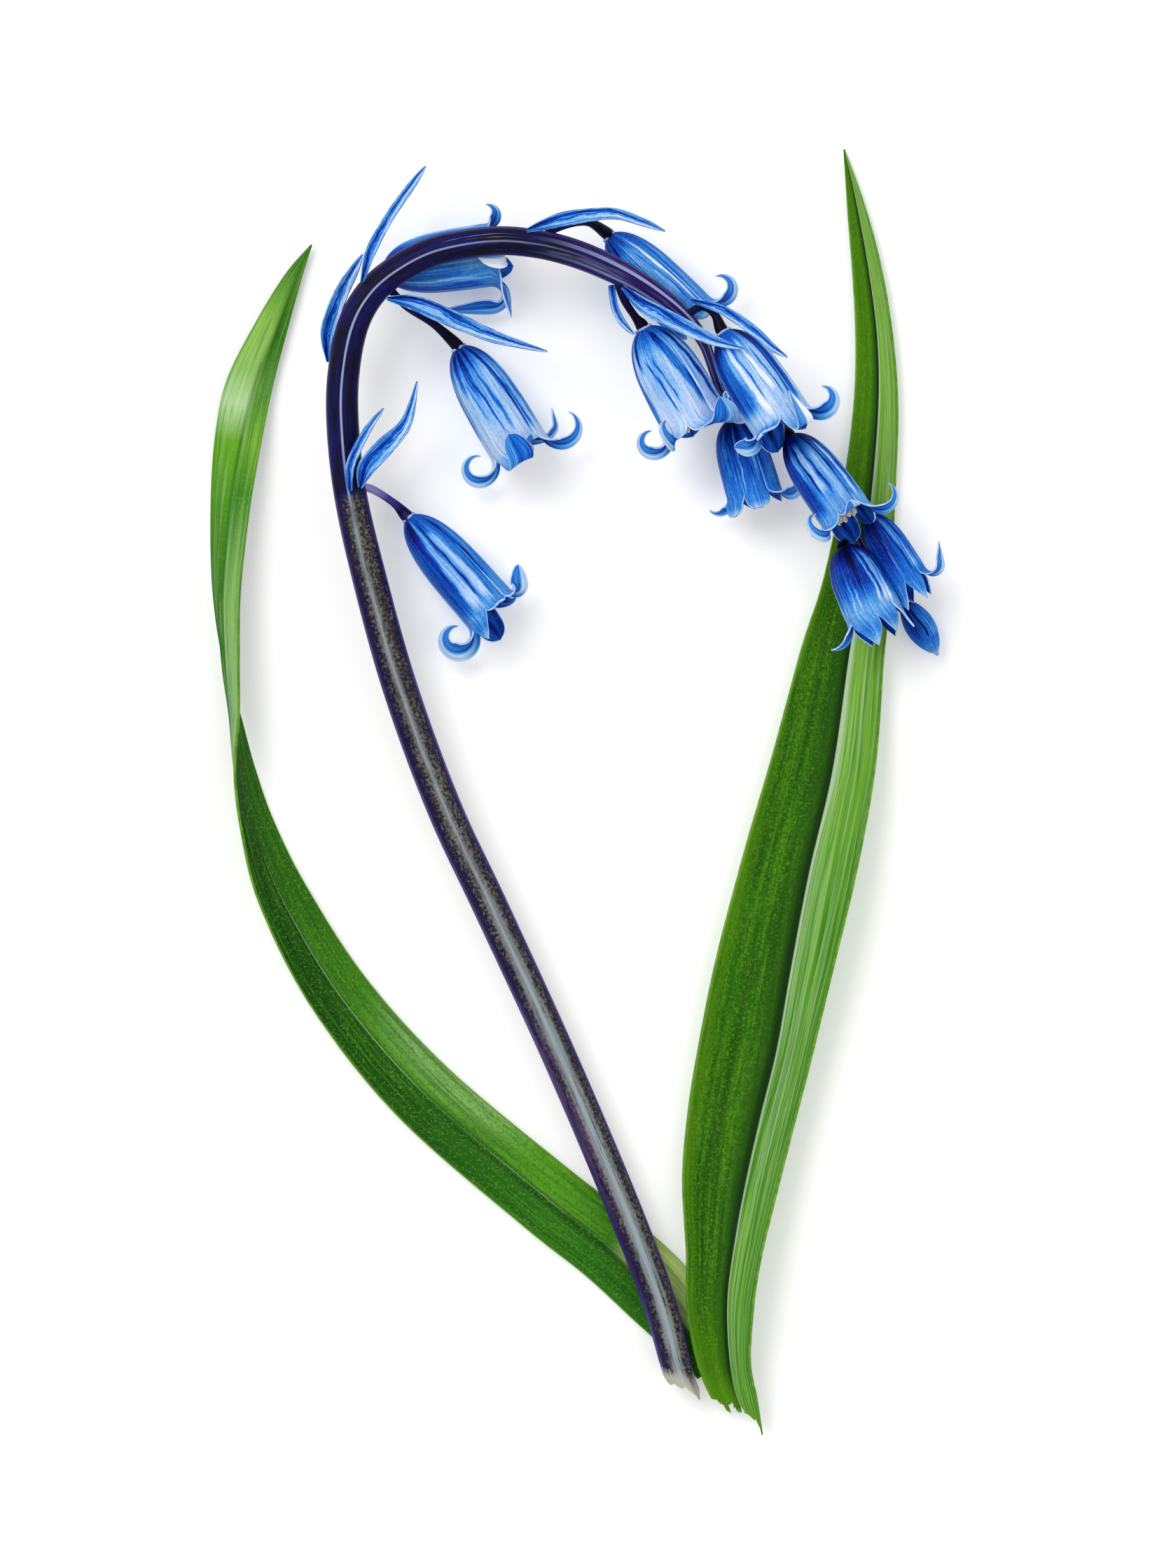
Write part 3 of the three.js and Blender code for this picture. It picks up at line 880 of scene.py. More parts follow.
@dataclass(frozen=True)
class LiningFinish:
    """Inner face and rim of every tepal."""

    name: str = "tepal"

    def inside(self, effects: SharedEffects) -> Material:
        """The face that a rolled tip and the throat show.

        Args:
            effects: The shared node groups.

        Returns:
            The material.
        """
        paint = Painter(f"{self.name}_inside", effects)
        rolled = paint.attribute(CURL_NAME)
        # Painted shade: darkest in the throat inside the bell and paler the more a tip rolls back; on a
        # rolled tip, darker on the half towards the bell's middle
        tone = paint.total(
            paint.math("MULTIPLY_ADD", rolled, 0.46, 0.13),
            paint.span(paint.along, 0.72, 1.0, 0.0, 0.12),
            paint.times(paint.span(paint.across, 0.35, 0.75, -0.3, 0.16), rolled),
            paint.times(paint.band(paint.side, 0.0, 0.02, 0.06), -0.12),
            paint.times(paint.span(paint.side, 0.4, 0.48), 0.12),
            paint.about(paint.streaks(5, 3.0, 3.3, 0.25, 0.75), 0.26),
            paint.about(paint.streaks(18, 5.0, 8.3), 0.2),
        )
        return paint.done(paint.ramp(tone, BLUES), paint.streaks(20, 2.0, 8.5), 0.04)

    def edge(self, effects: SharedEffects) -> Material:
        """The thin rim all round a tepal, palest at the free end.

        Args:
            effects: The shared node groups.

        Returns:
            The material.
        """
        paint = Painter(f"{self.name}_rim", effects)
        mottling = paint.about(paint.grain(900.0), 0.2)
        tone = paint.total(paint.span(paint.along, 0.1, 0.75, 0.32, 0.8), mottling)
        return paint.done(paint.ramp(tone, BLUES), paint.grain(2500.0), 0.02)


@dataclass(frozen=True)
class BractFinish:
    """Narrow bract with a deep blue band on one side and a painted highlight band on the other."""

    name: str = "bract"

    def face(self, effects: SharedEffects, suffix: str, seed: float) -> Material:
        """One face of the bract.

        Args:
            effects: The shared node groups.
            suffix: Which face it is, for the name.
            seed: Makes its streaks differ from the other face's.

        Returns:
            The material.
        """
        paint = Painter(f"{self.name}_{suffix}", effects)
        drift = paint.about(paint.grain(90.0, 0.3, 0.7), 0.34)
        across = paint.total(paint.across, drift, paint.about(paint.streaks(2.0, 5.0, seed), 0.16))
        tone = paint.total(
            paint.span(paint.along, 0.0, 0.35, 0.24, 0.53),
            paint.span(paint.along, 0.6, 1.0, 0.0, 0.1),
            paint.times(paint.band(across, 0.3, 0.07, 0.1), -0.3),
            # Painted highlight: a pale band along one side
            paint.times(paint.band(across, 0.72, 0.07, 0.1), 0.24),
            paint.times(paint.band(across, 0.55, 0.012, 0.03), -0.16),
            paint.times(paint.span(paint.side, 0.42, 0.49), 0.24),
            paint.about(paint.streaks(12, 4.0, seed + 2), 0.3),
            paint.about(paint.grain(2600.0), 0.08),
        )
        return paint.done(paint.ramp(tone, BLUES), paint.streaks(16, 4.0, seed + 4), 0.04)

    def edge(self, effects: SharedEffects) -> Material:
        """The thin rim.

        Args:
            effects: The shared node groups.

        Returns:
            The material.
        """
        paint = Painter(f"{self.name}_rim", effects)
        tone = paint.math("MULTIPLY_ADD", paint.grain(500.0), 0.4, 0.36)
        return paint.done(paint.ramp(tone, BLUES), paint.grain(2500.0), 0.02)

    def all(self, effects: SharedEffects) -> list[Material]:
        """The three finishes in the order of Side."""
        return [self.face(effects, "upper", 1.1), self.face(effects, "under", 6.2), self.edge(effects)]


@dataclass(frozen=True)
class LeafFinish:
    """What the finishes of both leaves share."""

    name: str
    dark: int
    margin: int

    def upper(self, effects: SharedEffects) -> Material:
        """The leaf's upper face, which each leaf's own finish gives."""
        raise NotImplementedError

    def under(self, effects: SharedEffects) -> Material:
        """The leaf's lower face, which each leaf's own finish gives."""
        raise NotImplementedError

    def edge(self, effects: SharedEffects) -> Material:
        """The rim of the blade.

        Args:
            effects: The shared node groups.

        Returns:
            The material.
        """
        paint = Painter(f"{self.name}_rim", effects)
        base = paint.blend(paint.times(paint.grain(700.0), 0.6), self.margin, self.dark)
        return paint.done(base, paint.grain(2500.0), 0.03)

    def all(self, effects: SharedEffects) -> list[Material]:
        """The three finishes in the order of Side."""
        return [self.upper(effects), self.under(effects), self.edge(effects)]


@dataclass(frozen=True)
class RightLeafFinish(LeafFinish):
    """Broad leaf, dark and mottled left of the keel with painted shade in its crease, and bright with pale
    lines right of it.
    """

    name: str = "leaf_right"
    dark: int = 0x2C6A08
    margin: int = 0x74A53A
    # Painted shade deep in the crease beside the keel
    black: int = 0x0A2A02
    shade: int = 0x1B4A05
    warm: int = 0x5E9610
    bright: int = 0x5A9C2C
    sunny: int = 0x82B63A
    line: int = 0xA2C68A
    # Painted highlight along the keel
    keel: int = 0xB8CCAE

    def left_half(self, paint: Painter) -> Socket:
        """The mottled half left of the keel, in painted shade towards the keel.

        Args:
            paint: The material under way.

        Returns:
            Its colour.
        """
        across, along = paint.across, paint.along
        base = paint.blend(paint.times(paint.streaks(44, 16.0, 1.5, 0.38, 0.68), 0.6), self.dark, self.warm)
        lit = paint.times(paint.span(across, 0.14, 0.0), paint.streaks(10, 9.0, 8.6, 0.3, 0.6))
        return paint.cover(
            base,
            (paint.streaks(12, 6.0, 5.5, 0.42, 0.6), 0.75, self.shade),
            (paint.grain(2400.0, 0.46, 0.58), 0.6, self.shade),
            (paint.grain(3200.0, 0.54, 0.64), 0.7, self.warm),
            (lit, 0.6, self.warm),
            (paint.span(along, 0.6, 0.8), 0.4, self.warm),
            (paint.span(along, 0.14, 0.05), 0.35, self.warm),
            # Painted shade: darker towards the keel, deepest in the crease beside it
            (paint.span(across, 0.3, 0.46), 0.85, self.shade),
            (paint.span(across, 0.42, 0.485), 0.9, self.black),
            (paint.span(across, 0.025, 0.0), 0.7, self.margin),
        )

    def right_half(self, paint: Painter) -> Socket:
        """The bright half right of the keel.

        Args:
            paint: The material under way.

        Returns:
            Its colour.
        """
        bright = paint.blend(paint.span(paint.along, 0.4, 0.75), self.bright, self.sunny)
        breaks = paint.streaks(16, 7.0, 6.4, 0.36, 0.5)
        fading = paint.span(paint.along, 0.35, 0.7, 1.0, 0.4)
        lines = paint.times(paint.veins(13, 0.6, 2.0, 0.16), breaks, fading)
        furrows = paint.times(paint.veins(31, 0.6, 5.0, 0.1), paint.streaks(20, 8.0, 2.4, 0.5, 0.6))
        return paint.cover(
            bright,
            (paint.streaks(26, 9.0, 9.1, 0.42, 0.64), 0.6, self.dark),
            (paint.streaks(14, 5.0, 3.1, 0.5, 0.62), 0.6, self.sunny),
            (paint.streaks(15, 3.2, 4.6, 0.52, 0.6), 0.34, self.line),
            (paint.streaks(44, 5.0, 7.6, 0.56, 0.62), 0.55, self.line),
            (lines, 0.5, self.line),
            (furrows, 0.5, self.shade),
            (paint.span(paint.across, 0.93, 1.0), 0.55, self.dark),
        )

    def upper(self, effects: SharedEffects) -> Material:
        """The face that looks up.

        Args:
            effects: The shared node groups.

        Returns:
            The material.
        """
        paint = Painter(f"{self.name}_upper", effects)
        across, along = paint.across, paint.along
        base = paint.mix(paint.span(across, 0.497, 0.503), self.left_half(paint), self.right_half(paint))
        # A painted highlight along the keel, a little wider partway along
        broad = paint.times(paint.band(along, 0.66, 0.1, 0.12), 0.014)
        keel = paint.band(across, paint.math("ADD", broad, 0.511), paint.math("ADD", broad, 0.005), 0.012)
        base = paint.cover(
            base,
            (keel, paint.span(along, 0.1, 0.5, 0.5, 0.8), self.keel),
            (paint.span(along, 0.045, 0.0), 0.45, self.warm),
        )
        return paint.done(base, paint.streaks(90, 9.0, 7.5), 0.06)

    def under(self, effects: SharedEffects) -> Material:
        """The face that lies on the surface.

        Args:
            effects: The shared node groups.

        Returns:
            The material.
        """
        paint = Painter(f"{self.name}_under", effects)
        base = paint.blend(paint.times(paint.veins(22, 0.3, 4.0), 0.5), self.bright, self.line)
        base = paint.cover(base, (paint.streaks(40, 6.0, 2.2, 0.45, 0.6), 0.5, self.dark))
        return paint.done(base, paint.streaks(90, 9.0, 4.5), 0.06)


# Tones of the left leaf's turned-up face along it, on either side of its midrib
LEFT_OF_MIDRIB = (
    (0.56, 0x2F641A), (0.7, 0x265E0C), (0.79, 0x468610), (0.84, 0x62A01A), (0.868, 0xB8D89E),
    (0.895, 0x8DBB5C), (0.93, 0x8ABA4C), (0.98, 0x3A7A16),
)
RIGHT_OF_MIDRIB = (
    (0.56, 0x8FB284), (0.7, 0x88B262), (0.76, 0x6C9E4B), (0.8, 0x44841A), (0.84, 0x78AE34),
    (0.885, 0x6BA244), (0.925, 0x367A14), (0.98, 0x5C9426),
)


@dataclass(frozen=True)
class LeftLeafFinish(LeafFinish):
    """Narrow leaf, dark near its foot, with a paler underside that its twist turns up."""

    name: str = "leaf_left"
    dark: int = 0x286B14
    margin: int = 0x6A9C2A
    black: int = 0x0F3A06
    shade: int = 0x174F0B
    bright: int = 0x55991F
    sunny: int = 0x6BA32B
    leafy: int = 0x3F8120
    soft: int = 0x9DC27E
    lime: int = 0xC4DC80
    line: int = 0xA9C49F

    def upper(self, effects: SharedEffects) -> Material:
        """The face that looks up below the twist.

        Args:
            effects: The shared node groups.

        Returns:
            The material.
        """
        paint = Painter(f"{self.name}_upper", effects)
        across, along = paint.across, paint.along
        pale = paint.times(paint.band(along, 0.3, 0.03, 0.07), paint.span(across, 0.5, 0.85))
        # Painted light: a pale lime patch near the foot on the right half, laid in streaks
        light = paint.times(paint.span(along, 0.125, 0.1), paint.span(across, 0.42, 0.58))
        lit = paint.span(paint.streaks(14, 9.0, 1.2, 0.4, 0.6), 0.0, 1.0, 0.95, 0.6)
        midrib = paint.times(paint.band(across, 0.5, 0.004, 0.01), paint.streaks(2, 6.0, 2.5, 0.3, 0.6))
        base = paint.cover(
            paint.blend(paint.span(across, 0.44, 0.56), self.dark, self.bright),
            (paint.span(along, 0.26, 0.5), 0.8, self.shade),
            (paint.span(across, 0.5, 0.3), paint.span(along, 0.15, 0.35, 0.0, 0.8), self.black),
            (paint.span(along, 0.2, 0.1), 0.6, self.dark),
            (pale, 0.5, self.soft),
            (paint.streaks(16, 9.0, 6.5, 0.42, 0.66), 0.6, self.shade),
            (paint.streaks(40, 14.0, 3.5, 0.5, 0.66), 0.4, self.bright),
            (paint.band(across, 0.47, 0.025, 0.06), 0.6, self.black),
            (paint.grain(2600.0, 0.5, 0.6), 0.4, self.shade),
            (paint.grain(3400.0, 0.54, 0.64), 0.5, self.sunny),
            (light, lit, self.lime),
            (midrib, 0.45, self.line),
            (paint.span(paint.side, 0.475, 0.5), 0.6, self.margin),
        )
        return paint.done(base, paint.streaks(70, 9.0, 7.5), 0.05)

    def under(self, effects: SharedEffects) -> Material:
        """The face that looks up above the twist.

        Args:
            effects: The shared node groups.

        Returns:
            The material.
        """
        paint = Painter(f"{self.name}_under", effects)
        along = paint.along
        left, right = paint.ramp(along, LEFT_OF_MIDRIB), paint.ramp(along, RIGHT_OF_MIDRIB)
        middle = paint.span(along, 0.56, 0.66, 0.5, 0.38)
        from_middle = paint.math("SUBTRACT", paint.across, middle)
        beside = paint.times(paint.band(from_middle, -0.06, 0.015, 0.03), paint.span(along, 0.87, 0.93))
        slim = paint.span(along, 0.55, 0.75, 0.03, 0.01)
        base = paint.cover(
            paint.mix(paint.span(from_middle, -0.01, 0.03), right, left),
            (paint.streaks(9, 7.0, 4.4, 0.42, 0.62), 0.25, self.leafy),
            (paint.streaks(24, 9.0, 8.4, 0.54, 0.62), 0.28, self.soft),
            (paint.streaks(30, 12.0, 2.4, 0.52, 0.62), 0.4, self.dark),
            (paint.grain(3400.0, 0.55, 0.65), 0.2, self.soft),
            (paint.band(from_middle, 0.05, 0.012, 0.05), 0.6, self.dark),
            (beside, 0.8, self.dark),
            (paint.band(from_middle, 0.0, slim, 0.012), 0.7, self.line),
            (paint.span(paint.side, 0.45, 0.5), 0.45, self.leafy),
        )
        return paint.done(base, paint.streaks(70, 9.0, 4.5), 0.05)


@dataclass(frozen=True)
class ScapeFinish:
    """Stem skin: olive brown below the first flower with painted shade and violet on its flanks, indigo
    above it, and painted highlights on top.
    """

    node_share: float
    name: str = "scape"
    roughness: float = 0.5
    gloss: float = 0.12
    olive: int = 0x6A665A
    umber: int = 0x231F26
    steel: int = 0x868D8F
    worn: int = 0x5A4668
    violet: int = 0x35187C
    night: int = 0x12063A
    ink: int = 0x05021F
    indigo: int = 0x0D0858
    plum: int = 0x280F55
    silver: int = 0x94A4AC
    lilac: int = 0x9AA4D2
    torn: int = 0xB3B0A2

    def below(self, paint: Painter, toward: Socket, centre: Socket) -> Socket:
        """The skin below the first flower.

        Args:
            paint: The material under way.
            toward: From 1 on the left flank to -1 on the right one.
            centre: Where the painted highlight stripe runs, as a share round.

        Returns:
            Its colour.
        """
        along = paint.along
        # A painted highlight beside the stripe, broad near the foot and narrowing up the stem
        widening = paint.span(along, 0.2, 0.36, 0.045, 0.014)
        beside = paint.band(paint.across, centre, widening, 0.035)
        beside = paint.times(beside, paint.streaks(26, 30.0, 5.5, 0.3, 0.55))
        shaded = paint.math("ADD", toward, paint.about(paint.grain(2200.0, 0.4, 0.6), 0.35))
        # Greyish violet streaks over the left flank near the foot
        low_left_flank = paint.times(paint.band(along, 0.17, 0.03, 0.05), paint.span(shaded, 0.1, 0.6))
        return paint.cover(
            paint.blend(paint.grain(2600.0, 0.42, 0.56), self.olive, self.umber),
            (paint.streaks(22, 50.0, 1.5, 0.48, 0.6), 0.6, self.umber),
            (beside, paint.span(along, 0.2, 0.3, 0.85, 0.55), self.steel),
            # Painted shade on the left flank, and on the right flank, stronger higher up
            (paint.span(shaded, 0.3, 0.62), 0.92, self.night),
            (paint.span(shaded, -0.5, -0.85), paint.span(along, 0.1, 0.3, 0.25, 0.9), self.night),
            (paint.times(low_left_flank, paint.streaks(18, 40.0, 3.1, 0.35, 0.6)), 0.6, self.worn),
            (paint.span(paint.math("ABSOLUTE", toward), 0.8, 0.95), 0.85, self.violet),
        )

    def above(self, paint: Painter, toward: Socket) -> Socket:
        """The skin above the first flower.

        Args:
            paint: The material under way.
            toward: From 1 on the left flank to -1 on the right one.

        Returns:
            Its colour.
        """
        tail = paint.span(paint.along, 0.71, 0.78)
        return paint.cover(
            paint.blend(paint.streaks(16, 40.0, 4.5, 0.36, 0.58), self.indigo, self.ink),
            (paint.grain(3800.0, 0.45, 0.62), 0.5, self.ink),
            (paint.span(paint.math("ABSOLUTE", toward), 0.84, 0.97), 0.75, self.plum),
            (tail, 0.35, self.violet),
            # Painted highlights: pale lilac streaks and two lines along the falling end
            (paint.times(tail, paint.streaks(20, 30.0, 9.5, 0.55, 0.66)), 0.16, self.lilac),
            (paint.times(tail, paint.band(paint.across, 0.33, 0.012, 0.016)), 0.6, self.lilac),
            (paint.times(tail, paint.band(paint.across, 0.16, 0.018, 0.012)), 0.85, self.lilac),
        )

    def skin(self, effects: SharedEffects) -> Material:
        """The whole skin, by its shares round and along.

        Args:
            effects: The shared node groups.

        Returns:
            The material.
        """
        paint = Painter(self.name, effects, self.roughness)
        across, along = paint.across, paint.along
        toward = paint.math("COSINE", paint.times(across, 2 * math.pi))
        centre = paint.span(along, 0.3, 0.5, 0.262, 0.234)
        first_flower = paint.span(along, self.node_share - 0.003, self.node_share + 0.003)
        # Painted highlight stripe along the top of the stem, grey and then lilac from halfway along, fading
        # out by the falling end
        stripe = paint.times(
            paint.band(across, centre, paint.span(along, 0.0, 0.5, 0.018, 0.004), 0.012),
            paint.span(along, 0.6, 0.78, 1.0, 0.0),
            paint.streaks(60, 26.0, 2.5, 0.25, 0.5),
        )
        # Painted highlight streaks on the arch
        arch_highlight = paint.times(paint.band(along, 0.68, 0.05, 0.06), paint.streaks(34, 16.0, 8.5, 0.6, 0.68))
        frayed = paint.math("SUBTRACT", along, paint.about(paint.streaks(30, 60.0, 3.5), 0.006))
        base = paint.cover(
            paint.mix(first_flower, self.below(paint, toward, centre), self.above(paint, toward)),
            (stripe, paint.span(along, 0.22, 0.32, 0.8, 0.55), self.silver),
            (paint.times(stripe, paint.span(along, 0.5, 0.53)), 0.75, self.lilac),
            (paint.times(arch_highlight, paint.band(across, 0.24, 0.09, 0.04)), 0.6, self.silver),
            (paint.span(frayed, 0.014, 0.003), 0.9, self.torn),
        )
        return paint.done(base, paint.streaks(40, 60.0, 7.5), 0.05, self.gloss)


@dataclass(frozen=True)
class PedicelFinish:
    """Skin of a flower's own stalk, shading from its foot to its head."""

    name: str
    foot: int
    middle: int
    head: int
    roughness: float = 0.5

    def skin(self, effects: SharedEffects) -> Material:
        """The whole skin.

        Args:
            effects: The shared node groups.

        Returns:
            The material.
        """
        paint = Painter(self.name, effects, self.roughness)
        stops = [(0.0, self.foot), (0.25, self.foot), (0.55, self.middle), (0.8, self.head)]
        base = paint.cover(
            paint.ramp(paint.along, stops), (paint.streaks(12, 4.0, 1.5, 0.5, 0.62), 0.4, self.middle)
        )
        return paint.done(base, paint.streaks(18, 8.0, 2.5), 0.04)


@dataclass(frozen=True)
class PlainTissueFinish:
    """Small parts of one colour with a little mottling."""

    name: str
    base: int
    other: int
    roughness: float

    def skin(self, effects: SharedEffects) -> Material:
        """The whole skin."""
        paint = Painter(self.name, effects, self.roughness)
        return paint.done(paint.blend(paint.grain(2600.0), self.base, self.other), paint.grain(5200.0), 0.04)


PEDICEL = PedicelFinish("pedicel", 0x141043, 0x0A0733, 0x040218)
FIRST_PEDICEL = PedicelFinish("pedicel_first", 0xA79BD0, 0x43348C, 0x07042C)
CROWN = PlainTissueFinish("crown", 0xC6D6F3, 0x6E9ADB, 0.6)
OVARY = PlainTissueFinish("stamen_tissue", 0xDCE4F2, 0xB7CBE9, 0.5)
ANTHER = PlainTissueFinish("anther", 0xE6E3DC, 0xBDB9AC, 0.7)


# Stem


# From the cut end to the bud: place, then radius
SCAPE = [
    [14.65, -78.85, 3.7, 1.8],
    [14.2, -77.6, 3.7, 1.85],
    [13, -74.4, 3.7, 1.95],
    [10.3, -64.5, 3.7, 2.15],
    [5.1, -51, 3.8, 2.2],
    [-2.6, -33, 4.3, 2.2],
    [-10.9, -15, 4.8, 2.25],
    [-17.2, -1.5, 5.4, 2.25],
    [-22.8, 13.8, 6.2, 2.25],
    [-26.8, 28.2, 7.2, 2.2],
    [-29.2, 39, 8.1, 2.1],
    [-30.1, 48, 9, 2.08],
    [-29.9, 54.3, 9.8, 2.04],
    [-28.7, 60.1, 10.6, 2],
    [-26.4, 64.2, 11.2, 1.95],
    [-22.9, 67.2, 11.6, 1.9],
    [-18, 69.6, 11.7, 1.88],
    [-11.2, 70.8, 11.6, 1.85],
    [-5.5, 70.5, 11.4, 1.83],
    [-0.2, 69.2, 11.2, 1.8],
    [5, 67, 10.9, 1.68],
    [9.5, 64.4, 10.7, 1.45],
    [13.6, 61.2, 10.2, 1.15],
    [16.3, 57.8, 9.4, 0.78],
    [18.5, 51.8, 8, 0.55],
    [21.4, 49.2, 7.2, 0.5],
    [24.6, 47.4, 6.4, 0.5],
    [30.5, 40.6, 4.5, 0.5],
    [35, 34.8, 3.5, 0.5],
    [38.3, 29.2, 3.1, 0.48],
    [41.6, 25.2, 2.9, 0.45],
]

# Each flower's stalk by the flower's number, from the stem to the flower
PEDICELS = {
    1: [[-29.2, 39.4, 8.3], [-26.6, 39.2, 7.6], [-23.6, 37.4, 6.1], [-22.1, 35.9, 5.1]],
    2: [[-24.6, 65.4, 10.9], [-22, 62.6, 9.4], [-18.4, 60.3, 7.2], [-15.6, 57.8, 5.6]],
    3: [[-28, 61, 10.4], [-27.6, 63.8, 8], [-26.8, 65.8, 6], [-25.5, 66.6, 5]],
    4: [[-5.5, 70.6, 11.3], [-2.6, 72.5, 10.7], [1.2, 73.4, 7.6], [3.65, 72.15, 4.95]],
    5: [[4.8, 66.6, 10.8], [6, 63.4, 10.8], [7.4, 61.2, 10.3], [8.2, 60.2, 10]],
    6: [[13.8, 61.2, 10.2], [16, 62.4, 11.2], [17.6, 61.4, 12.3], [18.4, 59.6, 12.7]],
    7: [[18.4, 52.8, 8.3], [18.9, 50.8, 6.6], [19.6, 48.8, 4.9]],
    8: [[23.4, 48, 6.7], [25.2, 47.6, 8], [26.9, 46.3, 9.2]],
    9: [[34.2, 35.9, 3.7], [35.1, 33.7, 4.6], [34.3, 32.5, 7.2]],
    10: [[32.6, 37.8, 4], [35, 37.6, 5], [37, 36.3, 5.6]],
}

# Where the torn end of the stem is short, round it from its left flank: share round, millimetres
STEM_TEAR = (
    (0.0, 5.4), (0.06, 4.4), (0.13, 3.5), (0.17, 3.7), (0.21, 2.9), (0.25, 2.6), (0.28, 2.9), (0.31, 1.7),
    (0.34, 1.9), (0.385, 0.1), (0.43, 1.6), (0.5, 2.3), (0.6, 2.0), (0.75, 3.0), (0.9, 4.2), (1.0, 5.4),
)


@dataclass
class Stem:
    """The scape with its pedicels, from the torn cut end to the bud."""

    sides: int = 40
    rings: int = 420
    pedicel_sides: int = 16
    pedicel_rings: int = 28
    pedicel_radius: float = 0.52
    head_radius: float = 0.82
    head_depth: float = 0.25
    rib_count: int = 9
    rib_height: float = 0.018
    rib_drift: float = 3.0
    crown_sides: tuple[int, int] = (24, 8)
    crown_gain: float = 0.1
    crown_thickness: float = 0.12
    crown_stretch: float = 1.4
    crown_depth: float = 0.04
    crown_lobes: int = 5
    crown_wave: float = 0.09
    crowned: tuple[int, ...] = (1, 2, 4, 5, 6)
    first_node: Vector = field(default_factory=lambda: Vector((-29.2, 38.4, 8.1)))

    def ribbed(self, u: float, v: float) -> float:
        """Fine ribs round the scape."""
        return 1 + self.rib_height * math.cos(2 * math.pi * self.rib_count * u + self.rib_drift * v)

    def build_pedicel(self, spot: BellPlace) -> Item:
        """One flower's stalk, a little thicker at its head.

        Args:
            spot: The flower that it carries.

        Returns:
            The stalk.
        """
        way = PEDICELS[spot.number]
        rows = [[*place, self.pedicel_radius] for place in way[:-1]]
        rows.append([*way[-1], self.head_radius])
        rows.append([*spot.frame(0).place(self.head_depth, 0, 0), self.head_radius])
        return tube(f"pedicel_{spot.number}", Line(rows, 8), self.pedicel_sides, self.pedicel_rings)

    def build_crown(self, spot: BellPlace) -> Item:
        """The pale ring where a flower joins its stalk.

        Args:
            spot: The flower.

        Returns:
            The ring.
        """
        frame = spot.frame(0)
        major, minor = self.crown_sides
        bpy.ops.mesh.primitive_torus_add(
            major_segments=major, minor_segments=minor, major_radius=1, minor_radius=self.crown_thickness
        )
        item = fresh("crown")
        breadth = BELL_PROFILE[0][1] * spot.radius + self.crown_gain
        for vertex in item.data.vertices:
            x, y, z = vertex.co
            wave = 1 + self.crown_wave * math.sin(self.crown_lobes * math.atan2(y, x) + spot.number)
            out = (frame.right * x + frame.up * y) * breadth * wave
            vertex.co = (frame.place(self.crown_depth + self.crown_stretch * z * wave, 0, 0) + out) * MM
        return item

    def build(self, effects: SharedEffects) -> Item:
        """Builds and dresses the stem.

        Args:
            effects: The shared node groups.

        Returns:
            One object that stands for the stem's solid.
        """
        line = Line(SCAPE, 14)
        scape = tube("scape", line, self.sides, self.rings, self.ribbed, STEM_TEAR)
        dress(scape, [ScapeFinish(line.share_near(self.first_node)).skin(effects)])
        first, others, pale = FIRST_PEDICEL.skin(effects), PEDICEL.skin(effects), CROWN.skin(effects)
        pieces = [scape]
        for spot in BELLS:
            pieces.append(self.build_pedicel(spot))
            dress(pieces[-1], [first if spot.number == 1 else others])
            if spot.number in self.crowned:
                pieces.append(self.build_crown(spot))
                dress(pieces[-1], [pale])
        stem = joined("stem_skin", pieces)
        smooth(stem)
        return stem


# Leaves and bracts


# From the foot: the keel's place, the breadth of either half, the turn and the fold
LEFT_LEAF = [
    [x, y, z, half, half, turn, fold]
    for x, y, z, half, turn, fold in (
        (17.8, -73.7, 0.9, 2.8, 0, 4),
        (11.4, -65.2, 0.9, 4.7, 0, 3),
        (4.2, -58.4, 0.9, 4.8, 0, 3),
        (-4, -52, 0.9, 4.7, 0, 6),
        (-19.6, -38.7, 0.9, 4.5, 0, 10),
        (-30.6, -25.9, 1.1, 4, 8, 11),
        (-38, -13.4, 2.3, 3.7, 30, 11),
        (-41.4, -4.7, 3.1, 3.5, 52, 11),
        (-43.2, 2.9, 3.6, 3.3, 68, 11),
        (-43.9, 10, 3.8, 3.2, 90, 11),
        (-44.9, 17.4, 3.6, 3.1, 110, 11),
        (-45.4, 26.4, 3.2, 3.05, 126, 11),
        (-44.8, 37.2, 2.6, 3.05, 146, 11),
        (-43.6, 46.2, 2, 3.1, 167, 11),
        (-42.2, 52.6, 1.6, 2.95, 180, 11),
        (-39.4, 60, 1.3, 2.05, 180, 11),
        (-36.6, 66.4, 1.1, 1.1, 180, 9),
        (-34.2, 70.7, 1, 0.1, 180, 6),
    )
]

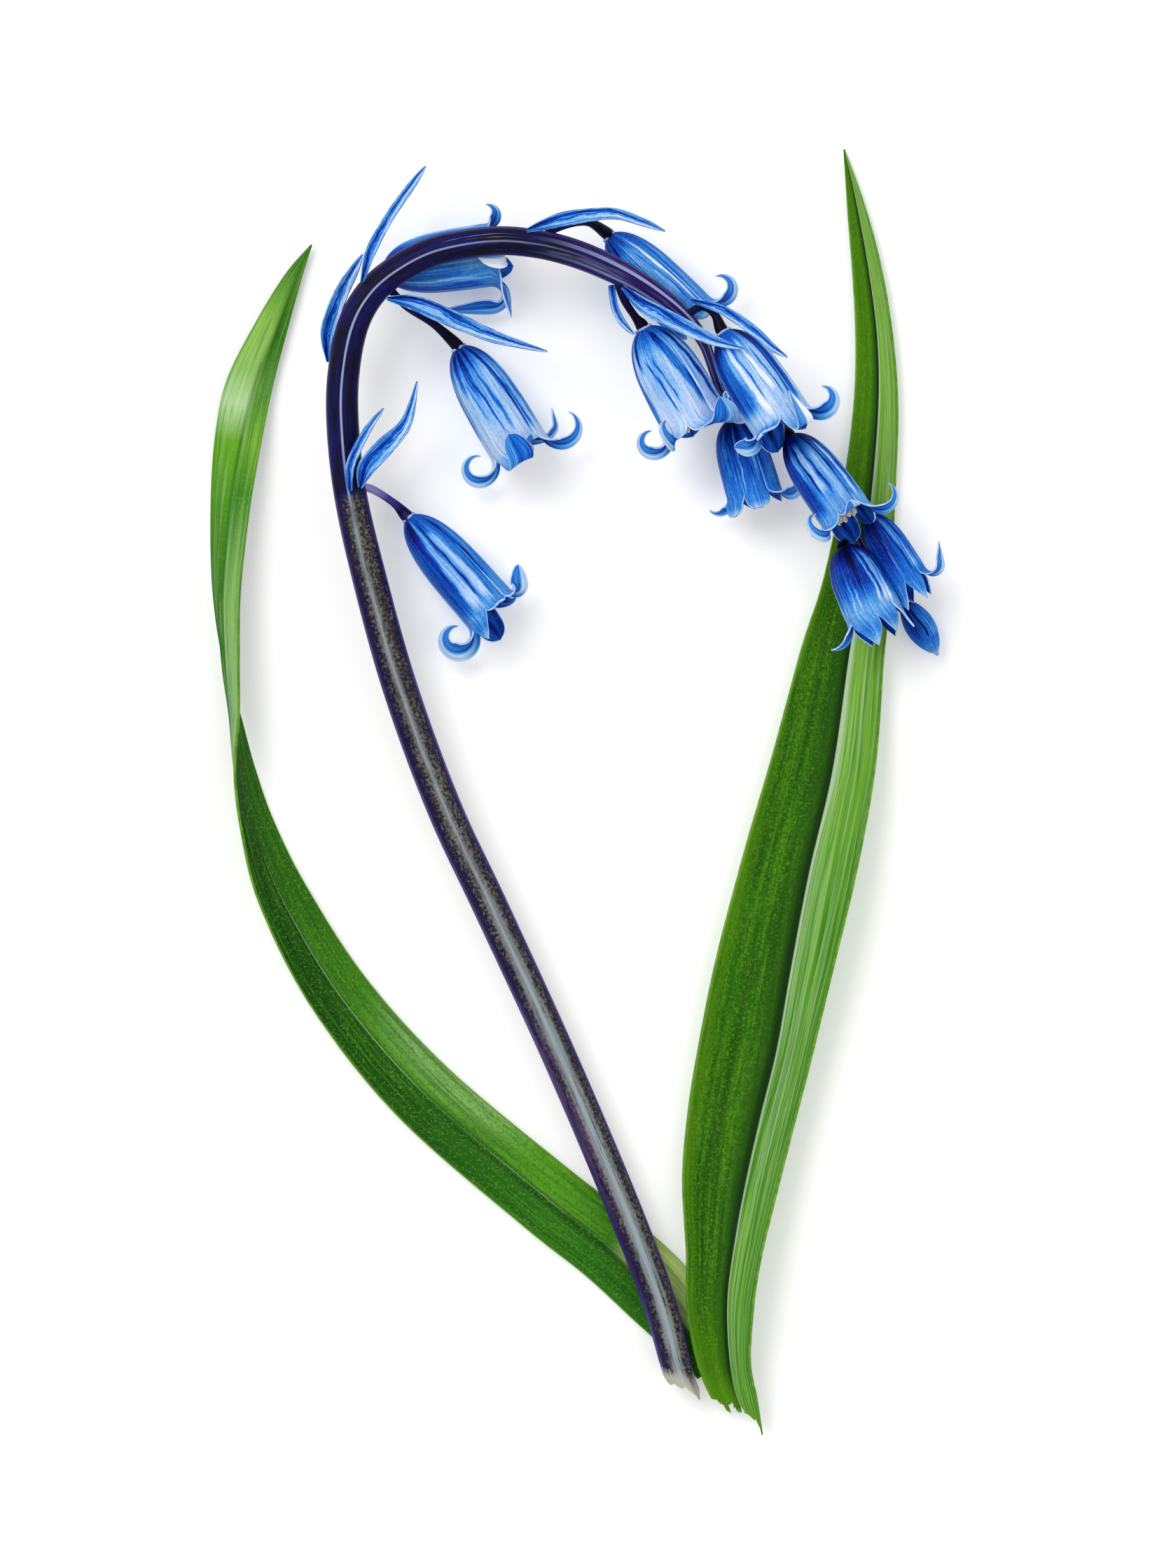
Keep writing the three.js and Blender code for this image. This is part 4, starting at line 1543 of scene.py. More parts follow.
# The same, with the breadth of the left half and then of the right one
RIGHT_LEAF = [
    [23.5, -82.7, 2.6, 0.3, 0.3, 0, 20],
    [20.9, -78.6, 2.8, 2.5, 2.8, -12, 24],
    [19.7, -73.5, 2.9, 4.1, 3.4, -16, 28],
    [19.3, -66.3, 2.9, 5.3, 4.6, -17, 29],
    [19.9, -60, 2.6, 6.1, 5.2, -18, 30],
    [21.5, -51, 1.5, 8.4, 6, -18, 30],
    [23.5, -42, 0.9, 9.7, 6.4, -18, 30],
    [25.7, -33, 0.9, 10.4, 6.6, -18, 30],
    [27.5, -22.8, 0.9, 10.1, 7.6, -18, 30],
    [29.9, -10.1, 0.9, 9.1, 8, -16, 28],
    [32.9, 2.9, 0.9, 8.3, 6.6, -13, 25],
    [35, 17.4, 0.9, 6.4, 4.8, -7, 18],
    [36.4, 26.4, 0.9, 4.9, 4.1, -3, 13],
    [37.9, 38.4, 0.9, 3.8, 3.1, -3, 13],
    [38.8, 49.5, 0.9, 3.2, 2.6, -6, 17],
    [38.7, 58.3, 0.9, 2.8, 2.1, -8, 20],
    [37.6, 67.2, 0.9, 2.1, 1.7, -8, 20],
    [36, 76, 0.9, 1.2, 0.9, -6, 16],
    [34.4, 83, 0.9, 0.1, 0.1, 0, 10],
]

# Where the torn foot of the right leaf is short: share from its left edge, millimetres
RIGHT_TEAR = (
    (0.0, 6.6), (0.1, 6.3), (0.16, 5.2), (0.2, 4.2), (0.23, 5.9), (0.3, 5.3), (0.35, 5.6), (0.4, 4.6),
    (0.43, 5.0), (0.475, 3.7), (0.505, 4.8), (0.54, 3.8), (0.58, 3.3), (0.65, 2.8), (0.72, 2.1), (0.8, 2.2),
    (0.88, 1.1), (0.94, 1.0), (1.0, 0.0),
)

# From its foot: the place, the breadth of either half, and the fold
BRACTS = {
    "bract_1_slim": (
        (-29.1, 38.8, 11.2, 0.2, 12), (-29, 42.2, 11.6, 0.5, 18), (-27, 46.4, 11.5, 0.45, 18),
        (-24.8, 49.4, 11, 0.1, 10),
    ),
    "bract_1_broad": (
        (-27.8, 39.2, 10.8, 0.2, 12), (-27, 41.8, 11, 1.1, 24), (-24.7, 44.4, 11, 1.2, 24),
        (-21.9, 47.6, 10.8, 0.7, 18), (-20.5, 52.9, 10.2, 0.1, 10),
    ),
    "bract_2": (
        (-31.9, 55.4, 8.1, 0.2, 12), (-31.9, 59.4, 8.2, 0.95, 20), (-30.4, 63.9, 8.7, 0.9, 20),
        (-28.7, 67, 9, 0.6, 15), (-27.5, 69.2, 9.2, 0.1, 10),
    ),
    "bract_3": (
        (-27.5, 65.6, 13.3, 0.2, 12), (-26.5, 69.2, 13.1, 0.6, 18), (-24.2, 73.6, 12.4, 0.55, 18),
        (-21, 78.2, 11.8, 0.45, 15), (-19.4, 80.4, 11.4, 0.1, 10),
    ),
    "bract_4": (
        (-24.3, 63.4, 13.2, 0.2, 12), (-21, 62.9, 12, 0.9, 22), (-16.8, 61.2, 11, 1.05, 22),
        (-11.2, 58.8, 10.2, 0.8, 20), (-7.6, 57.7, 9.6, 0.45, 15), (-3.8, 56.7, 9, 0.1, 10),
    ),
    "bract_5": (
        (-6.4, 72.1, 13.7, 0.2, 12), (-2.4, 73.4, 13, 0.85, 20), (1.4, 74.1, 12, 0.8, 20),
        (5, 74.3, 11.2, 0.65, 18), (8.6, 73.2, 10.6, 0.45, 15), (11.3, 72.1, 10.2, 0.1, 10),
    ),
    "bract_6_slim": (
        (4.4, 65.1, 12.9, 0.35, 15), (4.8, 62.4, 12.6, 0.4, 15), (5.8, 60.4, 12.2, 0.4, 15),
        (7.3, 58.8, 12, 0.1, 10),
    ),
    "bract_6_broad": (
        (5.8, 64.9, 13, 0.2, 12), (8.7, 62.4, 13.4, 0.9, 20), (13.1, 60.1, 14.6, 0.95, 20),
        (17.6, 57.9, 16.1, 0.6, 15), (21.4, 56.8, 17.7, 0.1, 10),
    ),
    "bract_7": (
        (14.6, 63.2, 12, 0.2, 12), (18.6, 61.9, 14.2, 0.55, 18), (22.3, 59.4, 15.6, 0.6, 18),
        (24.9, 57.1, 15.7, 0.45, 15), (26.9, 55.8, 15.4, 0.1, 10),
    ),
}


@dataclass(frozen=True)
class BladeSize:
    """How finely and how thick a blade is made.

    Attributes:
        across: Faces across.
        along: Faces along.
        wall: Its thickness along the keel, in millimetres.
        edge_share: Its thickness at the edges against that.
        tip_share: Its thickness at the free end against that along the keel.
        vein_count: Ribs on each half.
        vein_depth: Half their height.
        keel_groove: Depth of the groove along the keel.
        groove_share: Half breadth of that groove, as a share of a half.
        tip_from: Share along from which it thins to its free end.
        full_wall: Share of a half over which it thins to the edge.
        tear_share: Share along up to which a torn foot moves its rows.
        fold_at_keel: Share of the fold that the blade has at its keel.
        fold_growth: How much the fold grows from there to the edge.
        relief_breadth: Breadth of a half from which the ribs and the groove have their full height.
        relief_end: Share of a half beyond which the ribs fade.
        steps: Straight steps that stand for the curve of a half.
    """

    across: int
    along: int
    wall: float
    edge_share: float
    tip_share: float
    vein_count: int
    vein_depth: float
    keel_groove: float = 0.0
    groove_share: float = 0.05
    tip_from: float = 0.93
    full_wall: float = 0.7
    tear_share: float = 0.1
    fold_at_keel: float = 0.2
    fold_growth: float = 1.6
    relief_breadth: float = 2.5
    relief_end: float = 0.85
    steps: int = 6


LEAF_SIZE = BladeSize(64, 260, 0.85, 0.34 / 0.85, 0.16 / 0.85, 9, 0.035, keel_groove=0.12)
BRACT_SIZE = BladeSize(12, 48, 0.55, 0.22 / 0.55, 0.16 / 0.55, 3, 0.02)


class Blade:
    """A long blade creased along its keel: a leaf or a bract.

    Each row holds the keel's place, the breadth left and right of it, the turn of the blade about
    its own line and the fold of each half up from flat, in degrees.
    """

    def __init__(self, name: str, rows: Sequence[Row], size: BladeSize, tear: Pairs = WHOLE) -> None:
        """Sets the blade.

        Args:
            name: The object's name.
            rows: Its rows from the foot to the tip.
            size: How finely and how thick it is made.
            tear: How many millimetres are missing at the foot, at shares from the left edge.
        """
        self.name = name
        self.line = Line(rows, 12)
        self.size = size
        self.tear = tear

    @staticmethod
    def upward(travel: Vector, turn: float) -> Vector:
        """Direction out of the upper face at the keel, the blade turned by so many degrees."""
        level, rise = across_and_up(travel)
        return (rise * math.cos(math.radians(turn)) - level * math.sin(math.radians(turn))).normalized()

    def section(self, row: Row, travel: Vector, across: float) -> Vector:
        """A place on the upper face.

        Args:
            row: The blade's numbers there.
            travel: Direction of the keel there.
            across: From 1 at the left edge to -1 at the right one.

        Returns:
            The place in millimetres.
        """
        x, y, z, left, right, turn, fold = row
        size = self.size
        level, rise = across_and_up(travel)
        sign, breadth = (1, left) if across >= 0 else (-1, right)
        reach = abs(across)
        spot = Vector((x, y, z))
        for k in range(size.steps):
            part = reach * (k + 0.5) / size.steps
            angle = math.radians(fold * (size.fold_at_keel + size.fold_growth * part) + sign * turn)
            way = level * (sign * math.cos(angle)) + rise * math.sin(angle)
            spot += way * (reach * breadth / size.steps)
        relief = min(1.0, breadth / size.relief_breadth)
        ribs = math.cos(2 * math.pi * size.vein_count * across) * ease(1.0, size.relief_end, reach)
        groove = math.exp(-((across / size.groove_share) ** 2))
        height = (size.vein_depth * ribs - size.keel_groove * groove) * relief
        return spot + self.upward(travel, turn) * height

    def place(self, u: float, v: float) -> Vector:
        """A place on the upper face at shares from the left edge and from the foot."""
        share = v + at_share(self.tear, u) / self.line.length * (1 - ease(0, self.size.tear_share, v))
        return self.section(self.line.row(share), self.line.travel(share), 1 - 2 * u)

    def wall_share(self, u: float, v: float) -> float:
        """Thickness against the thickest, which is along the keel."""
        middle = lerp(1.0, self.size.tip_share, ease(self.size.tip_from, 1.0, v))
        return middle * lerp(1.0, self.size.edge_share, ease(0.0, self.size.full_wall, abs(1 - 2 * u)))

    def build(self, materials: Sequence[Material]) -> Item:
        """Builds and dresses the blade.

        Args:
            materials: Its finishes in the order of Side.

        Returns:
            The blade.
        """
        size = self.size
        blade = bent_grid(self.name, size.across, size.along, self.place)
        group = weigh(blade, self.wall_share, size.across, size.along)
        dress(blade, materials)
        in_edit_mode(blade, lambda: bpy.ops.mesh.remove_doubles(threshold=WELD))
        self.face_up(blade)
        thicken(blade, size.wall, vertex_group=group, thickness_vertex_group=0.01)
        lift_to_surface(blade)
        smooth(blade, crease=70.0)
        return blade

    def face_up(self, blade: Item, judged_at: float = 0.2) -> None:
        """Turns the open blade's faces to the side that is its upper one.

        Args:
            blade: The open sheet.
            judged_at: The share along at which its side is judged.
        """
        row = self.line.row(judged_at)
        spot = Vector(row[:3]) * MM
        nearest = min(blade.data.polygons, key=lambda face: (face.center - spot).length)
        if nearest.normal.dot(self.upward(self.line.travel(judged_at), row[5])) < 0:
            in_edit_mode(blade, bpy.ops.mesh.flip_normals)


# Bells


@dataclass(frozen=True)
class Tip:
    """How a tepal's free end rolls back.

    Attributes:
        turn: Degrees that it rolls through.
        reach: Its length.
        hurry: Share of the length after which it rolls no more.
        twist: Degrees by which it shows its inner face to the eye.
        start: Share of the length before which it runs straight.
        swing: Degrees that it wanders round the bell.
        broad: Its breadth against the tepal's own.
        taper: How late it narrows.
        blunt: Below 1 for a rounded end.
        pale: How pale its inner face is against the others.
    """

    turn: float
    reach: float
    hurry: float = 1.0
    twist: float = 0.0
    start: float = 0.0
    swing: float = 0.0
    broad: float = 1.0
    taper: float = 1.7
    blunt: float = 1.0
    pale: float = 1.0


@dataclass(frozen=True)
class BellPlace:
    """One flower: where it hangs, how large it is, how its tips roll and how it is coloured."""

    number: int
    foot: tuple[float, float, float]
    mouth: tuple[float, float, float]
    radius: float
    roll: float
    reach: float
    tips: tuple[Tip, ...]
    finish: TepalFinish

    def frame(self, roll: float) -> BellFrame:
        """Its frame, the tepals turned by so many degrees."""
        return BellFrame(self.foot, self.mouth, roll)


class BellFrame:
    """Places on a bell: along its line, out from it, and round it from the right over the top."""

    def __init__(self, foot: Row, tip: Row, roll: float) -> None:
        """Sets the frame.

        Args:
            foot: Where the flower begins.
            tip: The middle of its mouth, or its end.
            roll: Turn of its tepals about its own line, in degrees.
        """
        self.start = Vector(foot)
        way = Vector(tip) - self.start
        self.length = way.length
        self.along = way.normalized()
        self.right = Vector((0, 0, 1)).cross(self.along).normalized()
        self.up = self.along.cross(self.right)
        self.roll = roll

    def outward(self, angle: float) -> Vector:
        """Direction out from the line at an angle."""
        turned = math.radians(self.roll + angle)
        return self.right * math.cos(turned) + self.up * math.sin(turned)

    def place(self, t: float, r: float, angle: float) -> Vector:
        """A place t along the line and r out from it."""
        return self.start + self.along * t + self.outward(angle) * r


# Shapes of a bell and of the bud: share of the length, share of the largest radius
BELL_PROFILE = [[0, 0.22], [0.06, 0.47], [0.19, 0.74], [0.4, 0.93], [0.68, 1], [1, 1.02]]
BUD_PROFILE = [[0, 0.3], [0.1, 0.66], [0.35, 0.98], [0.6, 0.96], [0.85, 0.6], [1, 0.14]]


@dataclass
class Bell:
    """Six overlapping tepals with rolled tips, three of them outside the other three.

    Attributes:
        place: The flower.
        across: Faces across a tepal.
        body_rows: Faces along it up to the mouth.
        tip_rows: Faces along its tip.
        wall: Its thickness in millimetres.
        mouth_share: Share of its rows' length at which the mouth lies.
        ridge: How far the middle of an outer and of an inner tepal stands out.
        seam: How far their edges draw in.
        half_angle: Half their breadth, in degrees round the bell.
        foot_pinch: Their breadth near the foot against that at the mouth.
        rib: Height of the fine ribs.
        roll_gain: Above 1 where a tip rolls more towards its end.
        narrowest: Breadth left at the very end of a tip.
        flattening: How much of its hollow a tip loses.
        full_curl: Degrees of roll at which the lining is at its palest.
        profile: The bell's shape, as shares of its length and of its radius.
    """

    place: BellPlace
    across: int = 10
    body_rows: int = 18
    tip_rows: int = 24
    wall: float = 0.3
    mouth_share: float = 0.7
    ridge: tuple[float, float] = (0.035, -0.02)
    seam: tuple[float, float] = (0.055, 0.09)
    half_angle: tuple[float, float] = (36.0, 31.0)
    foot_pinch: float = 0.84
    rib: float = 0.008
    roll_gain: float = 1.15
    narrowest: float = 0.03
    flattening: float = 0.75
    full_curl: float = 120.0
    profile: Sequence[Row] = field(default_factory=lambda: smooth_rows(BELL_PROFILE, 8))

    def rolled(self, frame: BellFrame, radius: float, tip: Tip) -> list[tuple[float, float, float]]:
        """The middle line of a rolled tip: along, out and heading in degrees, one for each row.

        Args:
            frame: The bell's frame.
            radius: How far out it starts.
            tip: How it rolls.

        Returns:
            One place and heading for each row, the first at the mouth.
        """
        t, r, heading = frame.length, radius, 0.0
        stations = [(t, r, heading)]
        for k in range(1, self.tip_rows + 1):
            done = (k / self.tip_rows - tip.start) / (tip.hurry - tip.start)
            following = tip.turn * held(done) ** self.roll_gain
            middle = math.radians((heading + following) / 2)
            t += tip.reach / self.tip_rows * math.cos(middle)
            r += tip.reach / self.tip_rows * math.sin(middle)
            heading = following
            stations.append((t, r, heading))
        return stations

    def section(self, layer: int, radius: float, w: float) -> tuple[float, float]:
        """A place across a tepal.

        Args:
            layer: Whether the tepal is an outer or an inner one.
            radius: The bell's radius there.
            w: From 1 at one edge to -1 at the other.

        Returns:
            How far the place lies sideways, and in from the ridge.
        """
        ridge, half = self.ridge[layer], math.radians(self.half_angle[layer])
        spread = w * half * lerp(self.foot_pinch, 1.0, ease(0.2, 0.6, radius / self.place.radius))
        swell = 1 + ridge * (1 - w * w) - self.seam[layer] * w * w + self.rib * math.cos(2.5 * math.pi * w)
        lift = 1 + ridge + self.rib
        return radius * swell * math.sin(spread), radius * (swell * math.cos(spread) - lift)

    def tepal(self, frame: BellFrame, k: int) -> Item:
        """One tepal as an open sheet.

        Args:
            frame: The bell's frame.
            k: Its number round the bell.

        Returns:
            The sheet.
        """
        tip = self.place.tips[k]
        layer = k % 2
        angle = k * 60
        ridge = self.ridge[layer]
        radii = [(row[0], self.place.radius * row[1]) for row in self.profile]
        stations = self.rolled(frame, radii[-1][1] * (1 + ridge), tip)
        side_sign = 1 if math.cos(math.radians(self.place.roll + angle + tip.swing)) > 0 else -1

        def on_body(share: float, w: float) -> Vector:
            """A place between foot and mouth.

            Args:
                share: The share of the bell's length.
                w: From 1 at one edge to -1 at the other.

            Returns:
                The place in millimetres.
            """
            radius = at_share(radii, share)
            aside, inward = self.section(layer, radius, w)
            spot = frame.place(share * frame.length, radius * (1 + ridge + self.rib) + inward, angle)
            return spot + frame.outward(angle + 90) * aside

        def on_tip(row: int, w: float) -> Vector:
            """A place on the rolled tip.

            Args:
                row: The row of its faces, from the mouth.
                w: From 1 at one edge to -1 at the other.

            Returns:
                The place in millimetres.
            """
            share = row / self.tip_rows
            t, r, heading = stations[row]
            aside, inward = self.section(layer, radii[-1][1], w)
            swung = angle + tip.swing * ease(0.0, 0.6, share)
            rolled = math.radians(heading)
            skin = frame.outward(swung) * math.cos(rolled) - frame.along * math.sin(rolled)
            sideways = frame.outward(swung + 90)
            twist = math.radians(tip.twist) * ease(0.05, 0.5, share) * side_sign
            turned = sideways * math.cos(twist) + skin * math.sin(twist)
            skin = skin * math.cos(twist) - sideways * math.sin(twist)
            narrow = max(self.narrowest, (1 - share**tip.taper) ** tip.blunt)
            narrow *= lerp(1, tip.broad, ease(0, 0.35, share))
            cup = inward * (1 - self.flattening * ease(0, 0.5, share)) * narrow
            return frame.place(t, r, swung) + turned * (aside * narrow) + skin * cup

        def place(u: float, v: float) -> Vector:
            """A place on the outer face at shares across and along."""
            if v <= self.mouth_share:
                return on_body(v / self.mouth_share, 1 - 2 * u)
            return on_tip(round((v - self.mouth_share) / (1 - self.mouth_share) * self.tip_rows), 1 - 2 * u)

        rows = self.body_rows + self.tip_rows
        sheet = bent_rows("tepal", self.across, rows, self.mouth_share, self.body_rows, place)
        angles = sheet.data.attributes.new(ROUND_NAME, "FLOAT", "POINT").data
        curls = sheet.data.attributes.new(CURL_NAME, "FLOAT", "POINT").data
        for i in range(len(angles)):
            row, column = divmod(i, self.across + 1)
            w = 1 - 2 * column / self.across
            angles[i].value = self.place.roll + angle + w * self.half_angle[layer]
            heading = stations[max(0, row - self.body_rows)][2]
            curls[i].value = min(1.0, max(0.0, heading) / self.full_curl) * tip.pale
        if side_sign < 0:
            for corner in sheet.data.uv_layers[0].uv:
                corner.vector = (1 - corner.vector.x, corner.vector.y)
        return sheet

    def build(self, name: str, materials: Sequence[Material]) -> Item:
        """Builds and dresses the bell.

        Args:
            name: The object's name.
            materials: Its finishes in the order of Side.

        Returns:
            The six tepals as one object.
        """
        frame = self.place.frame(self.place.roll)
        tepals = []
        for k in range(len(self.place.tips)):
            tepal = self.tepal(frame, k)
            self.face_out(tepal, frame)
            dress(tepal, materials)
            thicken(tepal, self.wall)
            finish_with(tepal, "SUBSURF", levels=1, render_levels=1)
            tepals.append(tepal)
        bell = joined(name, tepals)
        lift_to_surface(bell)
        smooth(bell, crease=75.0)
        return bell

    @staticmethod
    def face_out(tepal: Item, frame: BellFrame) -> None:
        """Turns a sheet's faces away from the bell's line, judged near its foot.

        Args:
            tepal: The open sheet.
            frame: The bell's frame.
        """
        start = frame.start * MM
        face = min(tepal.data.polygons, key=lambda item: (item.center - start).length)
        away = face.center - start
        away -= frame.along * away.dot(frame.along)
        if face.normal.dot(away) < 0:
            in_edit_mode(tepal, bpy.ops.mesh.flip_normals)


# A short name for the many strokes below
S = Stroke

